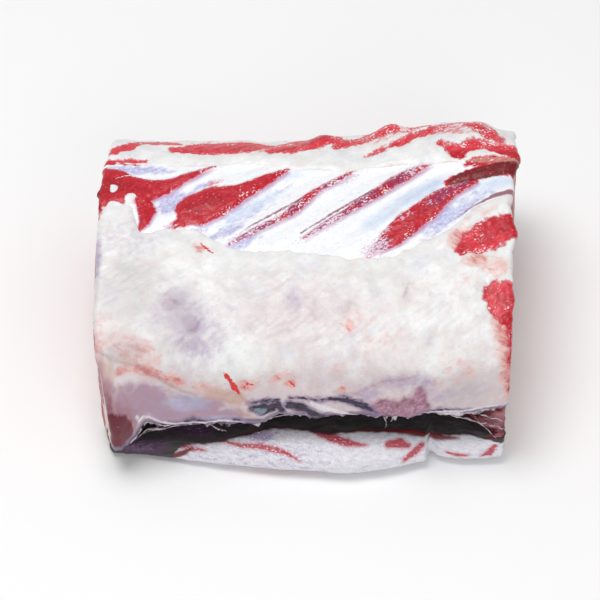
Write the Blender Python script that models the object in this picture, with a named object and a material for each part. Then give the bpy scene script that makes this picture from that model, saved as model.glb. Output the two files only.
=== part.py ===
"""Raw beef ribeye roll, boneless and lip on: one slab of meat lying on its flat underside.

The roll's length runs along X, between two cut faces. Its front (-Y) is open: the fat-covered lip
hangs over a dark cleft, and a membrane-covered flap of rib meat lies below it on the table.
The skin is a loft of closed sections; relief is laid on it by length x and girth s, the distance
round the middle section from the lip, over the top and back, to the lip again.
"""
import bpy
import bmesh
import numpy as np
from mathutils import Vector, noise
from mathutils.geometry import delaunay_2d_cdt

# All sizes below are in millimetres; MM turns them into metres.
MM = 0.001

LENGTH = 316.0          # between the cut faces, where the section stations end
CROWN = 122.0           # height of the top over the eye muscle
SHOULDER = 95.0         # height where the fat blanket turns from the front to the top
BACK = 131.0            # how far the back stands behind the middle
EDGE_RADIUS = 4.0       # softness of the cut faces' edges

# Section stations along the length: (x, value).
LIP_HEIGHT = ((-150, 25), (-138, 29), (-126, 43), (-112, 38), (-86, 39), (-61, 41), (-36, 41),
              (-22, 52), (-4, 52), (8, 46), (22, 51), (60, 51), (80, 49), (92, 53), (120, 50),
              (135, 55), (150, 59))
LIP_FRONT = ((-150, -121), (-138, -113), (-124, -107), (60, -107), (150, -106))
FLAP_FRONT = ((-150, -110), (-100, -117), (-50, -125), (0, -129), (26, -132), (60, -128),
              (94, -121), (150, -117))
FLAP_HEIGHT = ((-150, 12), (-90, 17), (-41, 24), (0, 27), (60, 26), (117, 22), (150, 24))
CLEFT_DEPTH = ((-150, 22), (-130, 40), (-100, 58), (95, 60), (125, 44), (140, 20), (150, 14))
TOP_LIFT = ((-150, -1), (-60, 1), (20, 3), (150, 11))
BACK_PUSH = ((-150, 2), (-20, 1), (60, 6), (150, 7))
# Cut faces: (y, x), as neither is quite straight.
LEFT_END = ((-130, -144), (-60, -157), (0, -158), (80, -157), (130, -151))
RIGHT_END = ((-130, 148), (-60, 152), (0, 154), (80, 162), (130, 166))
# A nick in the flap's front edge, steep at its left side at NICK_X and running out to the right.
NICK_X, NICK_RUN, NICK_DEPTH = 98.0, 9.0, 12.0

# Relief on the rib bed: spines of (x, s, half width). Lean stripes stand up between the smooth
# channels that the ribs left.
LEAN_STRIPES = (
    ((-160, 206, 15), (-143, 201, 16), (-120, 199, 11), (-90, 209, 7), (-73, 221, 2)),
    ((-128, 192, 7), (-121, 180, 8), (-127, 160, 3)),
    ((-104, 161, 1), (-84, 174, 10), (-70, 186, 15), (-45, 201, 7), (-15, 219, 1)),
    ((-60, 145, 2), (-9, 180, 4), (20, 203, 2), (40, 213, 1)),
    ((-5, 147, 2), (40, 180, 3), (57, 196, 5), (94, 217, 1)),
    ((38, 140, 2), (62, 148, 9), (88, 170, 10), (115, 190, 5), (130, 197, 1)),
    ((114, 202, 1), (136, 207, 4), (162, 213, 7)),
    ((120, 134, 7), (130, 144, 14), (160, 154, 9)),
    ((150, 84, 13), (150, 104, 9)),
)
RIB_CHANNELS = (
    ((-116, 180, 10), (-95, 192, 12), (-60, 214, 9), (-30, 224, 4)),
    ((-75, 152, 9), (-45, 176, 12), (-10, 201, 12), (25, 219, 6)),
    ((-30, 152, 8), (10, 181, 11), (50, 208, 9), (80, 222, 4)),
    ((15, 142, 8), (45, 166, 12), (80, 198, 12), (110, 212, 6)),
    ((95, 150, 5), (125, 182, 8), (155, 198, 7)),
)
STRIPE_HEIGHT = 1.6
CHANNEL_DEPTH = 2.6
FAT_THICKNESS = 3.5     # of the blanket over the lip and the near half of the top
RIM_THICKNESS = 2.2     # of the fat along the far rim and down the back
# Upper edge of the fat blanket and lower edge of the far rim's fat, as girth s along x.
FAT_TOP = ((-158, 177), (-146, 184), (-134, 173), (-122, 158), (-98, 160), (-70, 144), (-49, 141),
           (0, 137), (44, 131), (63, 133), (89, 144), (110, 156), (128, 172), (158, 186))
RIM_LOW = ((-158, 230), (-80, 224), (0, 217), (60, 220), (112, 219), (158, 225))
RIM_END = 346.0         # girth where the back's fat runs out
# A crease in the fat above the lower left corner.
CREASE = ((-158, 52, 3), (-125, 44, 4), (-105, 32, 4), (-88, 20, 3), (-76, 16, 2))
CREASE_DEPTH = 1.8
# Knobs and dips of the far rim: x, s, radius, height.
RIM_KNOBS = ((-142, 262, 12, 2.0), (-28, 262, 16, -1.5), (15, 258, 13, 5.5), (66, 262, 12, 6.5),
             (105, 260, 38, 5.5), (162, 262, 13, -8.0))
LUMP_HEIGHT = 1.7       # of the uneven fat and muscle, over LUMP_SPAN
LUMP_SPAN = 42.0

# Cut faces: the eye muscle as an ellipse in (y, z), the cap muscle round it and the fat seam between.
EYE_Y, EYE_Z, EYE_HALF_WIDTH, EYE_HALF_HEIGHT = 25.0, 62.0, 72.0, 42.0
EYE_BULGE = 2.6
SEAM_DEPTH = 1.4
SEAM_WIDTH = 5.0
CUT_GRID = 9.5          # spacing of the cut faces' inner points

# Rows round the section: (first control point, last control point, rows between them).
ROW_RUNS = ((0, 2, 6), (2, 5, 11), (5, 9, 24), (9, 13, 7), (13, 18, 6), (18, 22, 10), (22, 26, 9),
            (26, 30, 8))
FLAT_ROWS = (13, 17)    # control points between which the underside lies flat
COLUMN_SPACING = 6.4


def along(x, stations):
    """Smooth value at x through (place, value) stations, never overshooting between them."""
    places = np.array([place for place, _ in stations], float)
    values = np.array([value for _, value in stations], float)
    x = np.clip(np.asarray(x, float), places[0], places[-1])
    i = np.clip(np.searchsorted(places, x, side="right") - 1, 0, len(places) - 2)
    steps = np.diff(places)
    slopes = np.diff(values) / steps
    tangents = np.zeros(len(places))
    tangents[0], tangents[-1] = slopes[0], slopes[-1]
    for k in range(1, len(places) - 1):
        if slopes[k - 1] * slopes[k] > 0:
            tangents[k] = 2 * slopes[k - 1] * slopes[k] / (slopes[k - 1] + slopes[k])
    t = (x - places[i]) / steps[i]
    return ((2 * t**3 - 3 * t**2 + 1) * values[i] + (t**3 - 2 * t**2 + t) * steps[i] * tangents[i]
            + (-2 * t**3 + 3 * t**2) * values[i + 1] + (t**3 - t**2) * steps[i] * tangents[i + 1])


def smoothstep(low, high, value):
    t = np.clip((value - low) / (high - low), 0, 1)
    return t * t * (3 - 2 * t)


def section_points(x):
    """Control points (y, z) of the section at x: lip, fat side, top, back, underside, flap and cleft."""
    lip_z, lip_y = float(along(x, LIP_HEIGHT)), float(along(x, LIP_FRONT))
    flap_y, flap_z = float(along(x, FLAP_FRONT)), float(along(x, FLAP_HEIGHT))
    flap_y += NICK_DEPTH * float(smoothstep(-4, 2, x - NICK_X)) * np.exp(-max(x - NICK_X, 0) / NICK_RUN)
    depth = float(along(x, CLEFT_DEPTH))
    up, back = float(along(x, TOP_LIFT)), BACK + float(along(x, BACK_PUSH))
    gap = lip_z - flap_z
    inner = lip_y + depth
    floor = inner - flap_y
    rise = SHOULDER - lip_z
    return np.array([
        (lip_y, lip_z), (lip_y - 2.5, lip_z + 0.16 * rise), (lip_y + 4, lip_z + 0.55 * rise),
        (-90, SHOULDER + 0.3 * up), (-58, CROWN - 13 + 0.5 * up), (-12, CROWN - 4.5 + 0.8 * up),
        (38, CROWN + up), (82, CROWN - 1 + up), (back - 21, CROWN - 12 + up), (back - 5, 90 + 0.8 * up),
        (back, 62 + 0.4 * up), (back - 3, 32), (116, 9), (94, 0), (50, 0), (0, 0), (-50, 0),
        (flap_y + 30, 0), (flap_y + 9, 1.5), (flap_y, 0.35 * flap_z), (flap_y + 0.04 * floor, 0.72 * flap_z),
        (flap_y + 0.16 * floor, 0.95 * flap_z), (flap_y + 0.36 * floor, flap_z),
        (flap_y + 0.68 * floor, flap_z + 0.03 * gap), (inner - 0.05 * floor, flap_z + 0.16 * gap),
        (inner, flap_z + 0.42 * gap), (inner - 0.07 * floor, flap_z + 0.66 * gap),
        (lip_y + 0.62 * depth, flap_z + 0.74 * gap), (lip_y + 0.3 * depth, flap_z + 0.8 * gap),
        (lip_y + 0.08 * depth, flap_z + 0.88 * gap),
    ])


CONTROLS = len(section_points(0.0))


def closed_spline(points, w):
    """Point and outward normal of the closed Catmull-Rom curve at w, counted in control points."""
    i = np.floor(w).astype(int)
    t = (w - i)[:, None]
    before, start, end, after = (points[(i + k) % CONTROLS] for k in (-1, 0, 1, 2))
    bend = 2 * before - 5 * start + 4 * end - after
    twist = 3 * start - before - 3 * end + after
    place = 0.5 * (2 * start + (end - before) * t + bend * t**2 + twist * t**3)
    slope = 0.5 * (end - before + 2 * bend * t + 3 * twist * t**2)
    slope /= np.linalg.norm(slope, axis=1)[:, None]
    return place, np.stack([-slope[:, 1], slope[:, 0]], axis=1)


def girth_of_rows(w):
    """Distance round the middle section, from the lip, at each w."""
    fine = np.linspace(0, CONTROLS, CONTROLS * 40 + 1)
    places, _ = closed_spline(section_points(0.0), fine)
    lengths = np.concatenate([[0], np.cumsum(np.linalg.norm(np.diff(places, axis=0), axis=1))])
    return np.interp(w, fine, lengths)


def leaf(x, s, spine):
    """How deep (x, s) lies inside a tapering stripe; negative outside it."""
    deepest = np.full(np.shape(x), -1e9)
    for (x0, s0, half0), (x1, s1, half1) in zip(spine, spine[1:]):
        dx, ds = x1 - x0, s1 - s0
        t = np.clip(((x - x0) * dx + (s - s0) * ds) / (dx * dx + ds * ds), 0, 1)
        distance = np.hypot(x - x0 - t * dx, s - s0 - t * ds)
        deepest = np.maximum(deepest, half0 + t * (half1 - half0) - distance)
    return deepest


def lumps(x, s, span, seed):
    """Smooth noise of about -1 to 1, one lump every span or so."""
    return np.array([[noise.noise(Vector((a / span, b / span, seed))) for a, b in zip(row_x, row_s)]
                     for row_x, row_s in zip(x, s)])


def relief(x, s):
    """Height of the surface over the plain loft: stripes, channels, fat, crease, knobs and lumps."""
    lean = np.max([leaf(x, s, spine) for spine in LEAN_STRIPES], axis=0)
    channel = np.max([leaf(x, s, spine) for spine in RIB_CHANNELS], axis=0)
    height = STRIPE_HEIGHT * smoothstep(-2, 5, lean) - CHANNEL_DEPTH * smoothstep(-4, 11, channel)
    blanket = smoothstep(-6, 6, along(x, FAT_TOP) - s) * smoothstep(-2, 12, s)
    rim = smoothstep(-5, 5, np.minimum(s - along(x, RIM_LOW), RIM_END - s))
    height = height * (1 - np.maximum(blanket, rim)) + FAT_THICKNESS * blanket + RIM_THICKNESS * rim
    height -= CREASE_DEPTH * smoothstep(-4, 3, leaf(x, s, CREASE))
    for knob_x, knob_s, radius, rise in RIM_KNOBS:
        height += rise * np.exp(-((x - knob_x) ** 2 + (s - knob_s) ** 2) / radius**2)
    height += LUMP_HEIGHT * lumps(x, s, LUMP_SPAN, 3.7)
    return height + 0.35 * LUMP_HEIGHT * lumps(x, s, LUMP_SPAN / 3, 8.1)


def column_places():
    """Places of the sections from 0 to 1 along the length, close together at the rounded ends."""
    edge = EDGE_RADIUS / LENGTH
    inner = np.linspace(edge, 1 - edge, int(LENGTH / COLUMN_SPACING))
    return np.concatenate([[0, edge * 0.3], inner, [1 - edge * 0.3, 1]])


def skin_points():
    """Grid of skin points in millimetres, sections by rows, and each section's place 0 to 1."""
    rows = np.concatenate([np.linspace(a, b, n, endpoint=False) for a, b, n in ROW_RUNS])
    girth = girth_of_rows(rows)
    columns = column_places()
    grid = np.zeros((len(columns), len(rows), 3))
    normals = np.zeros((len(columns), len(rows), 2))
    for a, place in enumerate(columns):
        section, normals[a] = closed_spline(section_points(LENGTH * (place - 0.5)), rows)
        left, right = along(section[:, 0], LEFT_END), along(section[:, 0], RIGHT_END)
        grid[a, :, 0] = (1 - place) * left + place * right
        grid[a, :, 1:] = section
    height = relief(grid[..., 0], np.broadcast_to(girth, grid.shape[:2]))
    grid[..., 1:] += normals * height[..., None]
    underside = (rows >= FLAT_ROWS[0]) & (rows <= FLAT_ROWS[1])
    grid[:, underside, 2] = 0
    grid[..., 2] = np.maximum(grid[..., 2], 0)
    # Each end's last sections shrink towards the middle, which rounds the cut faces' edges.
    from_end = np.clip(LENGTH * np.minimum(columns, 1 - columns), 0, EDGE_RADIUS)
    inset = EDGE_RADIUS - np.sqrt(EDGE_RADIUS**2 - (EDGE_RADIUS - from_end) ** 2)
    shrink = inset[:, None] / (CROWN / 2)
    grid[..., 1] *= 1 - inset[:, None] / BACK
    grid[..., 2] += shrink * (CROWN / 2 - grid[..., 2])
    return grid


def cut_relief(y, z):
    """How far a cut face stands out at (y, z): the eye muscle bulges, a fat seam is pulled in round it."""
    radius = np.hypot((y - EYE_Y) / EYE_HALF_WIDTH, (z - EYE_Z) / EYE_HALF_HEIGHT)
    bulge = EYE_BULGE * np.sqrt(np.clip(1 - radius**2, 0, 1))
    seam = SEAM_DEPTH * np.exp(-(((radius - 1) * EYE_HALF_HEIGHT) / SEAM_WIDTH) ** 2)
    return bulge - seam + 0.9 * noise.noise(Vector((y / 30, z / 30, 5.3)))


def distance_to_outline(point, corners):
    """Shortest distance from a point to a closed outline."""
    sides = np.roll(corners, -1, axis=0) - corners
    t = np.clip(((point - corners) * sides).sum(axis=1) / (sides * sides).sum(axis=1), 0, 1)
    return np.linalg.norm(corners + t[:, None] * sides - point, axis=1).min()


def add_cut_face(bm, ring, end_stations, outward):
    """Close one end: triangles over the ring and a grid of inner points that carry the muscles' relief."""
    outline = [Vector((vert.co.y, vert.co.z)) for vert in ring]
    edges = [(k, (k + 1) % len(outline)) for k in range(len(outline))]
    corners = np.array([tuple(point) for point in outline])
    inside = []
    for row, z in enumerate(np.arange(corners[:, 1].min(), corners[:, 1].max(), CUT_GRID * 0.87)):
        for y in np.arange(corners[:, 0].min(), corners[:, 0].max(), CUT_GRID):
            point = np.array([y + (row % 2) * CUT_GRID / 2, z])
            if distance_to_outline(point, corners) > 0.5 * CUT_GRID:
                inside.append(Vector(point))
    places, _, faces, origins, _, _ = delaunay_2d_cdt(
        outline + inside, edges, [list(range(len(outline)))], 1, 1e-5)
    verts = []
    for place, origin in zip(places, origins):
        on_ring = [k for k in origin if k < len(ring)]
        if on_ring:
            verts.append(ring[on_ring[0]])
            continue
        y, z = place.x, place.y
        depth = distance_to_outline(np.array([y, z]), corners)
        x = float(along(y, end_stations)) + outward * cut_relief(y, z) * float(smoothstep(0, 8, depth))
        verts.append(bm.verts.new((x, y, z)))
    for face in faces:
        bm.faces.new([verts[k] for k in face])


def make_roll():
    grid = skin_points()
    sections, rows = grid.shape[:2]
    bm = bmesh.new()
    # A flat sheet, one row too many, is wrapped round the sections and welded where it meets itself.
    bmesh.ops.create_grid(bm, x_segments=sections - 1, y_segments=rows, size=1.0)
    bm.verts.ensure_lookup_table()
    order = sorted(bm.verts, key=lambda vert: (round(vert.co.y * rows), round(vert.co.x * sections)))
    rings = [[None] * rows for _ in range(sections)]
    for k, vert in enumerate(order):
        row, section = divmod(k, sections)
        vert.co = grid[section, row % rows]
        if row < rows:
            rings[section][row] = vert
    seam = {order[rows * sections + section]: rings[section][0] for section in range(sections)}
    bmesh.ops.weld_verts(bm, targetmap=seam)
    add_cut_face(bm, rings[0], LEFT_END, -1)
    add_cut_face(bm, rings[-1], RIGHT_END, 1)
    bmesh.ops.triangulate(bm, faces=bm.faces[:])
    bmesh.ops.recalc_face_normals(bm, faces=bm.faces[:])
    corners = np.array([vert.co[:] for vert in bm.verts])
    low, high = corners.min(axis=0), corners.max(axis=0)
    middle = Vector(((low[0] + high[0]) / 2, (low[1] + high[1]) / 2, low[2]))
    for vert in bm.verts:
        vert.co = (vert.co - middle) * MM
    mesh = bpy.data.meshes.new("ribeye_roll")
    bm.to_mesh(mesh)
    bm.free()
    mesh.shade_smooth()
    return bpy.data.objects.new("ribeye_roll", mesh)


def raw_beef():
    material = bpy.data.materials.new("raw_beef")
    material.use_nodes = True
    shader = material.node_tree.nodes["Principled BSDF"]
    shader.inputs["Base Color"].default_value = (0.72, 0.55, 0.52, 1.0)
    shader.inputs["Roughness"].default_value = 0.4
    shader.inputs["Metallic"].default_value = 0.0
    return material


for leftover in list(bpy.data.objects):
    bpy.data.objects.remove(leftover, do_unlink=True)
collection = bpy.data.collections.new("raw_beef_ribeye_roll")
bpy.context.scene.collection.children.link(collection)
roll = make_roll()
roll.data.materials.append(raw_beef())
collection.objects.link(roll)
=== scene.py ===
# %% [markdown]
# # A raw beef ribeye roll
#
# A ribeye roll is the boneless rib section of beef: one long muscle with smaller ones round it, a
# fat blanket over one side, and the bed of the ribs on the other. This lesson dresses the plain CAD
# solid of such a roll. The solid tells where the meat lies; the pieces below lie on the same form
# and carry what the eye sees: fat, silverskin, lean stripes, the dark cleft and the two cut faces.

import math

import bpy
import numpy as np
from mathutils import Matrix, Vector, noise
from mathutils.geometry import delaunay_2d_cdt


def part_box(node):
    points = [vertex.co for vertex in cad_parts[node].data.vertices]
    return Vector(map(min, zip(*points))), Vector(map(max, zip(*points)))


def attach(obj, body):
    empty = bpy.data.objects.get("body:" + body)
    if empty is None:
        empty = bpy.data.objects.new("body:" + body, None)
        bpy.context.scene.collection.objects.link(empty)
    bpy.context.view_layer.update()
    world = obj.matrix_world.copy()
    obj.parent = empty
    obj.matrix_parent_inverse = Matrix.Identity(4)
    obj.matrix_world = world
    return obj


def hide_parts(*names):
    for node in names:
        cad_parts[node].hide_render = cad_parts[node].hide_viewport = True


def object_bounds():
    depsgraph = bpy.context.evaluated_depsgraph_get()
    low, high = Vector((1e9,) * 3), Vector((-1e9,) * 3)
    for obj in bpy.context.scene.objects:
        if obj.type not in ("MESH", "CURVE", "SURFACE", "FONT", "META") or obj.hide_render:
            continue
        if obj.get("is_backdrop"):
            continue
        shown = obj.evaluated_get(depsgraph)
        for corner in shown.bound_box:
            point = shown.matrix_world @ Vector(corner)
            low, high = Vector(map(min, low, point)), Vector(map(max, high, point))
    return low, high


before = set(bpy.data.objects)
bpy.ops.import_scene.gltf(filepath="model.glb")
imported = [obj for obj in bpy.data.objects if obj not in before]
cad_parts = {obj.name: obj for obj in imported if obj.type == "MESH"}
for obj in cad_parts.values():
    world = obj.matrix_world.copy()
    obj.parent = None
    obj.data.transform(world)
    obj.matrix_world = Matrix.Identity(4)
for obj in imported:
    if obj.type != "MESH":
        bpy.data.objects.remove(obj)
cad_low, cad_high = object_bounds()
print("CAD box, mm:", [round((b - a) * 1000, 1) for a, b in zip(cad_low, cad_high)])

# %% [markdown]
# ## Units and colours
#
# Sizes are in millimetres, because that is how meat is trimmed; one factor turns them into metres.
# Colours are written as sRGB hex, as a colour picker shows them; one function makes them linear.

# %% Units and colours
MM = 0.001
FINE = 1.1       # spacing of the skins' points


def linear(hex_color):
    channels = [int(hex_color[k : k + 2], 16) / 255 for k in (1, 3, 5)]
    curve = (c / 12.92 if c <= 0.04045 else ((c + 0.055) / 1.055) ** 2.4 for c in channels)
    return tuple(curve) + (1.0,)


print("beef lean, linear:", [round(c, 3) for c in linear("#c03341")])

# %% [markdown]
# ## The form
#
# The roll is a loft: closed sections across the meat, each a smooth curve through thirty points,
# whose heights and depths change slowly along the length. Every place on the skin then has two
# simple names: x along the roll and s, the girth from the lip over the top and round. All that is
# painted or raised later is given by x and s, so it stays on the meat whatever the form does.
# These numbers are the CAD solid's own.

# %% Section stations
LENGTH = 316.0
CROWN = 122.0
SHOULDER = 95.0
BACK = 131.0
EDGE_RADIUS = 4.0
LIP_HEIGHT = ((-150, 25), (-138, 29), (-126, 43), (-112, 38), (-86, 39), (-61, 41), (-36, 41),
              (-22, 52), (-4, 52), (8, 46), (22, 51), (60, 51), (80, 49), (92, 53), (120, 50),
              (135, 55), (150, 59))
LIP_FRONT = ((-150, -121), (-138, -113), (-124, -107), (60, -107), (150, -106))
FLAP_FRONT = ((-150, -110), (-100, -117), (-50, -125), (0, -129), (26, -132), (60, -128),
              (94, -121), (150, -117))
FLAP_HEIGHT = ((-150, 12), (-90, 17), (-41, 24), (0, 27), (60, 26), (117, 22), (150, 24))
CLEFT_DEPTH = ((-150, 22), (-130, 40), (-100, 58), (95, 60), (125, 44), (140, 20), (150, 14))
TOP_LIFT = ((-150, -1), (-60, 1), (20, 3), (150, 11))
BACK_PUSH = ((-150, 2), (-20, 1), (60, 6), (150, 7))
LEFT_END = ((-130, -144), (-60, -157), (0, -158), (80, -157), (130, -151))
RIGHT_END = ((-130, 148), (-60, 152), (0, 154), (80, 162), (130, 166))
NICK_X, NICK_RUN, NICK_DEPTH = 98.0, 9.0, 12.0
FLAT_FROM, FLAT_TO = 398.2, 591.3       # girths between which the underside lies flat


def along(x, stations):
    """Smooth value at x through (place, value) stations, never overshooting between them."""
    places = np.array([place for place, _ in stations], float)
    values = np.array([value for _, value in stations], float)
    x = np.clip(np.asarray(x, float), places[0], places[-1])
    i = np.clip(np.searchsorted(places, x, side="right") - 1, 0, len(places) - 2)
    steps = np.diff(places)
    slopes = np.diff(values) / steps
    tangents = np.zeros(len(places))
    tangents[0], tangents[-1] = slopes[0], slopes[-1]
    for k in range(1, len(places) - 1):
        if slopes[k - 1] * slopes[k] > 0:
            tangents[k] = 2 * slopes[k - 1] * slopes[k] / (slopes[k - 1] + slopes[k])
    t = (x - places[i]) / steps[i]
    return ((2 * t**3 - 3 * t**2 + 1) * values[i] + (t**3 - 2 * t**2 + t) * steps[i] * tangents[i]
            + (-2 * t**3 + 3 * t**2) * values[i + 1] + (t**3 - t**2) * steps[i] * tangents[i + 1])


def smoothstep(low, high, value):
    t = np.clip((value - low) / (high - low), 0, 1)
    return t * t * (3 - 2 * t)
print("places along the roll where the lip's height is set:", len(LIP_HEIGHT))

# %% A section's outline


def section_points(x):
    """Points (y, z) of the section at x: lip, fat side, top, back, underside, flap, cleft."""
    lip_z, lip_y = float(along(x, LIP_HEIGHT)), float(along(x, LIP_FRONT))
    flap_y, flap_z = float(along(x, FLAP_FRONT)), float(along(x, FLAP_HEIGHT))
    past = x - NICK_X
    flap_y += NICK_DEPTH * float(smoothstep(-4, 2, past)) * np.exp(-max(past, 0) / NICK_RUN)
    depth = float(along(x, CLEFT_DEPTH))
    up, back = float(along(x, TOP_LIFT)), BACK + float(along(x, BACK_PUSH))
    gap = lip_z - flap_z
    inner = lip_y + depth
    floor = inner - flap_y
    rise = SHOULDER - lip_z
    return np.array([
        (lip_y, lip_z), (lip_y - 2.5, lip_z + 0.16 * rise), (lip_y + 4, lip_z + 0.55 * rise),
        (-90, SHOULDER + 0.3 * up), (-58, CROWN - 13 + 0.5 * up), (-12, CROWN - 4.5 + 0.8 * up),
        (38, CROWN + up), (82, CROWN - 1 + up), (back - 21, CROWN - 12 + up),
        (back - 5, 90 + 0.8 * up), (back, 62 + 0.4 * up), (back - 3, 32), (116, 9), (94, 0),
        (50, 0), (0, 0), (-50, 0), (flap_y + 30, 0), (flap_y + 9, 1.5), (flap_y, 0.35 * flap_z),
        (flap_y + 0.04 * floor, 0.72 * flap_z), (flap_y + 0.16 * floor, 0.95 * flap_z),
        (flap_y + 0.36 * floor, flap_z), (flap_y + 0.68 * floor, flap_z + 0.03 * gap),
        (inner - 0.05 * floor, flap_z + 0.16 * gap),
        (inner, flap_z + 0.42 * gap), (inner - 0.07 * floor, flap_z + 0.66 * gap),
        (lip_y + 0.62 * depth, flap_z + 0.74 * gap), (lip_y + 0.3 * depth, flap_z + 0.8 * gap),
        (lip_y + 0.08 * depth, flap_z + 0.88 * gap),
    ])


CONTROLS = len(section_points(0.0))
print("points of a section:", CONTROLS)


def closed_spline(points, w):
    """Point and outward normal of the closed Catmull-Rom curve at w, counted in control points."""
    i = np.floor(w).astype(int)
    t = (w - i)[:, None]
    before, start, end, after = (points[(i + k) % CONTROLS] for k in (-1, 0, 1, 2))
    bend = 2 * before - 5 * start + 4 * end - after
    twist = 3 * start - before - 3 * end + after
    place = 0.5 * (2 * start + (end - before) * t + bend * t**2 + twist * t**3)
    slope = 0.5 * (end - before + 2 * bend * t + 3 * twist * t**2)
    slope /= np.linalg.norm(slope, axis=1)[:, None]
    return place, np.stack([-slope[:, 1], slope[:, 0]], axis=1)


# %% Girth
# Girth s against w, measured round the middle section.
fine_w = np.linspace(-1, CONTROLS, (CONTROLS + 1) * 40 + 1)
walk, _ = closed_spline(section_points(0.0), fine_w)
fine_s = np.concatenate([[0], np.cumsum(np.linalg.norm(np.diff(walk, axis=0), axis=1))])
fine_s -= np.interp(0, fine_w, fine_s)
GIRTH = fine_s[-1]
print(f"girth of the middle section: {GIRTH:.0f} mm")

# %% [markdown]
# ## Marks on the meat
#
# Butchers' meat is full of places where one tissue shows through another. Two shapes describe them
# all: a leaf, a tapering stripe along a spine, for lean between the ribs and streaks in the fat;
# and a soft oval spot for stains and blushes. Smooth noise, one lump every so many millimetres,
# makes the fat uneven and tears the edges.

# %% Leaves, spots and lumps
RIB_TILT = 34.0                         # degrees between the roll's length and the ribs' marks


def leaf(x, s, spine):
    """How deep (x, s) lies inside a tapering stripe, in mm; negative outside it."""
    deepest = np.full(np.shape(x), -1e3)
    for (x0, s0, half0), (x1, s1, half1) in zip(spine, spine[1:]):
        dx, ds = x1 - x0, s1 - s0
        t = np.clip(((x - x0) * dx + (s - s0) * ds) / (dx * dx + ds * ds), 0, 1)
        distance = np.hypot(x - x0 - t * dx, s - s0 - t * ds)
        deepest = np.maximum(deepest, half0 + t * (half1 - half0) - distance)
    return deepest


def leaves(x, s, spines):
    return np.max([leaf(x, s, spine) for spine in spines], axis=0)


def spots(x, s, marks):
    """Soft oval marks: (x, s, half length, half width, tilt in degrees, strength in the middle)."""
    total = np.zeros(np.shape(x))
    for mark_x, mark_s, half_length, half_width, tilt, strength in marks:
        c, d = math.cos(math.radians(tilt)), math.sin(math.radians(tilt))
        u = ((x - mark_x) * c + (s - mark_s) * d) / half_length
        v = ((s - mark_s) * c - (x - mark_x) * d) / half_width
        total = np.maximum(total, strength * np.exp(-((u * u + v * v) ** 1.5)))
    return total


def lumps(x, s, span, seed, stretch=1.0):
    """Smooth noise of about -1 to 1, one lump every span mm; stretched along the ribs' marks."""
    if stretch != 1.0:
        c, d = math.cos(math.radians(RIB_TILT)), math.sin(math.radians(RIB_TILT))
        x, s = (x * c + s * d) / stretch, s * c - x * d
    flat = [noise.noise(Vector((a / span, b / span, seed)))
            for a, b in zip(np.ravel(x), np.ravel(s))]
    return np.array(flat).reshape(np.shape(x))


print("lumps of 9 mm, every 3 mm:", np.round(lumps(np.arange(0, 15, 3.0), np.zeros(5), 9, 1.0), 2))

# %% [markdown]
# The rib bed: where the ribs were cut out, lean stripes stand between smooth channels covered in
# silverskin. Each stripe is a spine of (x, s, half width).

# %% The rib bed's stripes and channels
LEAN_STRIPES = (
    ((-166, 201, 22), (-150, 201, 20), (-135, 200, 13), (-121, 198, 10.5), (-109, 201, 7.5),
     (-99, 206, 5), (-86, 214, 3.2), (-70, 223, 0.5)),
    ((-125, 190, 6), (-121, 178, 7), (-122, 166, 4), (-126, 157, 1.5)),
    ((-106, 159, 0.6), (-94, 166, 5), (-84, 178, 15.5), (-71, 185.5, 15.5), (-60, 189, 11.5),
     (-50, 194, 8), (-40, 200, 6.5), (-30, 207, 5), (-13, 218, 1.2)),
    ((-58, 144, 0.8), (-42, 154, 1.6), (-29, 163, 1.6), (-19, 169, 1.8), (-8, 178, 3.4),
     (0, 187, 3.4), (9, 195.5, 2.0), (27, 207, 1.8), (38, 216, 0.6)),
    ((-2, 149, 0.8), (14, 161, 1.5), (30, 173, 2.2), (43, 183, 3.2), (56, 193, 4), (68, 203, 4.5),
     (79, 209, 4), (96, 218, 0.8)),
    ((46, 131, 1), (56, 139, 4.5), (64, 148, 8.5), (76, 160, 10), (90, 171, 9.5), (102, 183, 8),
     (113, 190, 5), (129, 198, 2.2)),
    ((110, 198, 1), (118, 202, 3.2), (129, 205, 4), (144, 209, 4.6), (158, 213, 5), (168, 216, 5)),
)
RIB_CHANNELS = (
    ((-116, 180, 10), (-95, 192, 12), (-60, 214, 9), (-30, 224, 4)),
    ((-75, 152, 9), (-45, 176, 12), (-10, 201, 12), (25, 219, 6)),
    ((-30, 152, 8), (10, 181, 11), (50, 208, 9), (80, 222, 4)),
    ((15, 142, 8), (45, 166, 12), (80, 198, 12), (110, 212, 6)),
    ((95, 150, 5), (125, 182, 8), (155, 198, 7)),
)
STRIPE_HEIGHT = 1.6                     # mm that a stripe stands up
CHANNEL_DEPTH = 2.6                     # mm that a channel lies lower
# Thin dark lines where a stripe only just breaks the silverskin.
THIN_LINES = (
    ((-4, 154, 0.5), (29, 178, 0.8), (51, 194, 0.5)),
    ((112, 163, 0.1), (128, 175, 0.6), (144, 184, 2.0), (160, 189, 2.6)),
    ((-45, 158, 0.4), (-20, 176, 0.9), (-4, 187, 0.4)),
)
# Dark red lean under the far rim's right end and along the left end. Under the rim's edge the
# near-black red is partly painted shade of the overhang.
DARK_LEAN_AND_SHADE = (
    ((110, 198, 3), (118, 202, 5.5), (129, 205, 6.5), (144, 209, 7), (168, 216, 8)),
    ((-163, 217, 2), (-162, 195, 4.5), (-160, 160, 4)),
)
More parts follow.
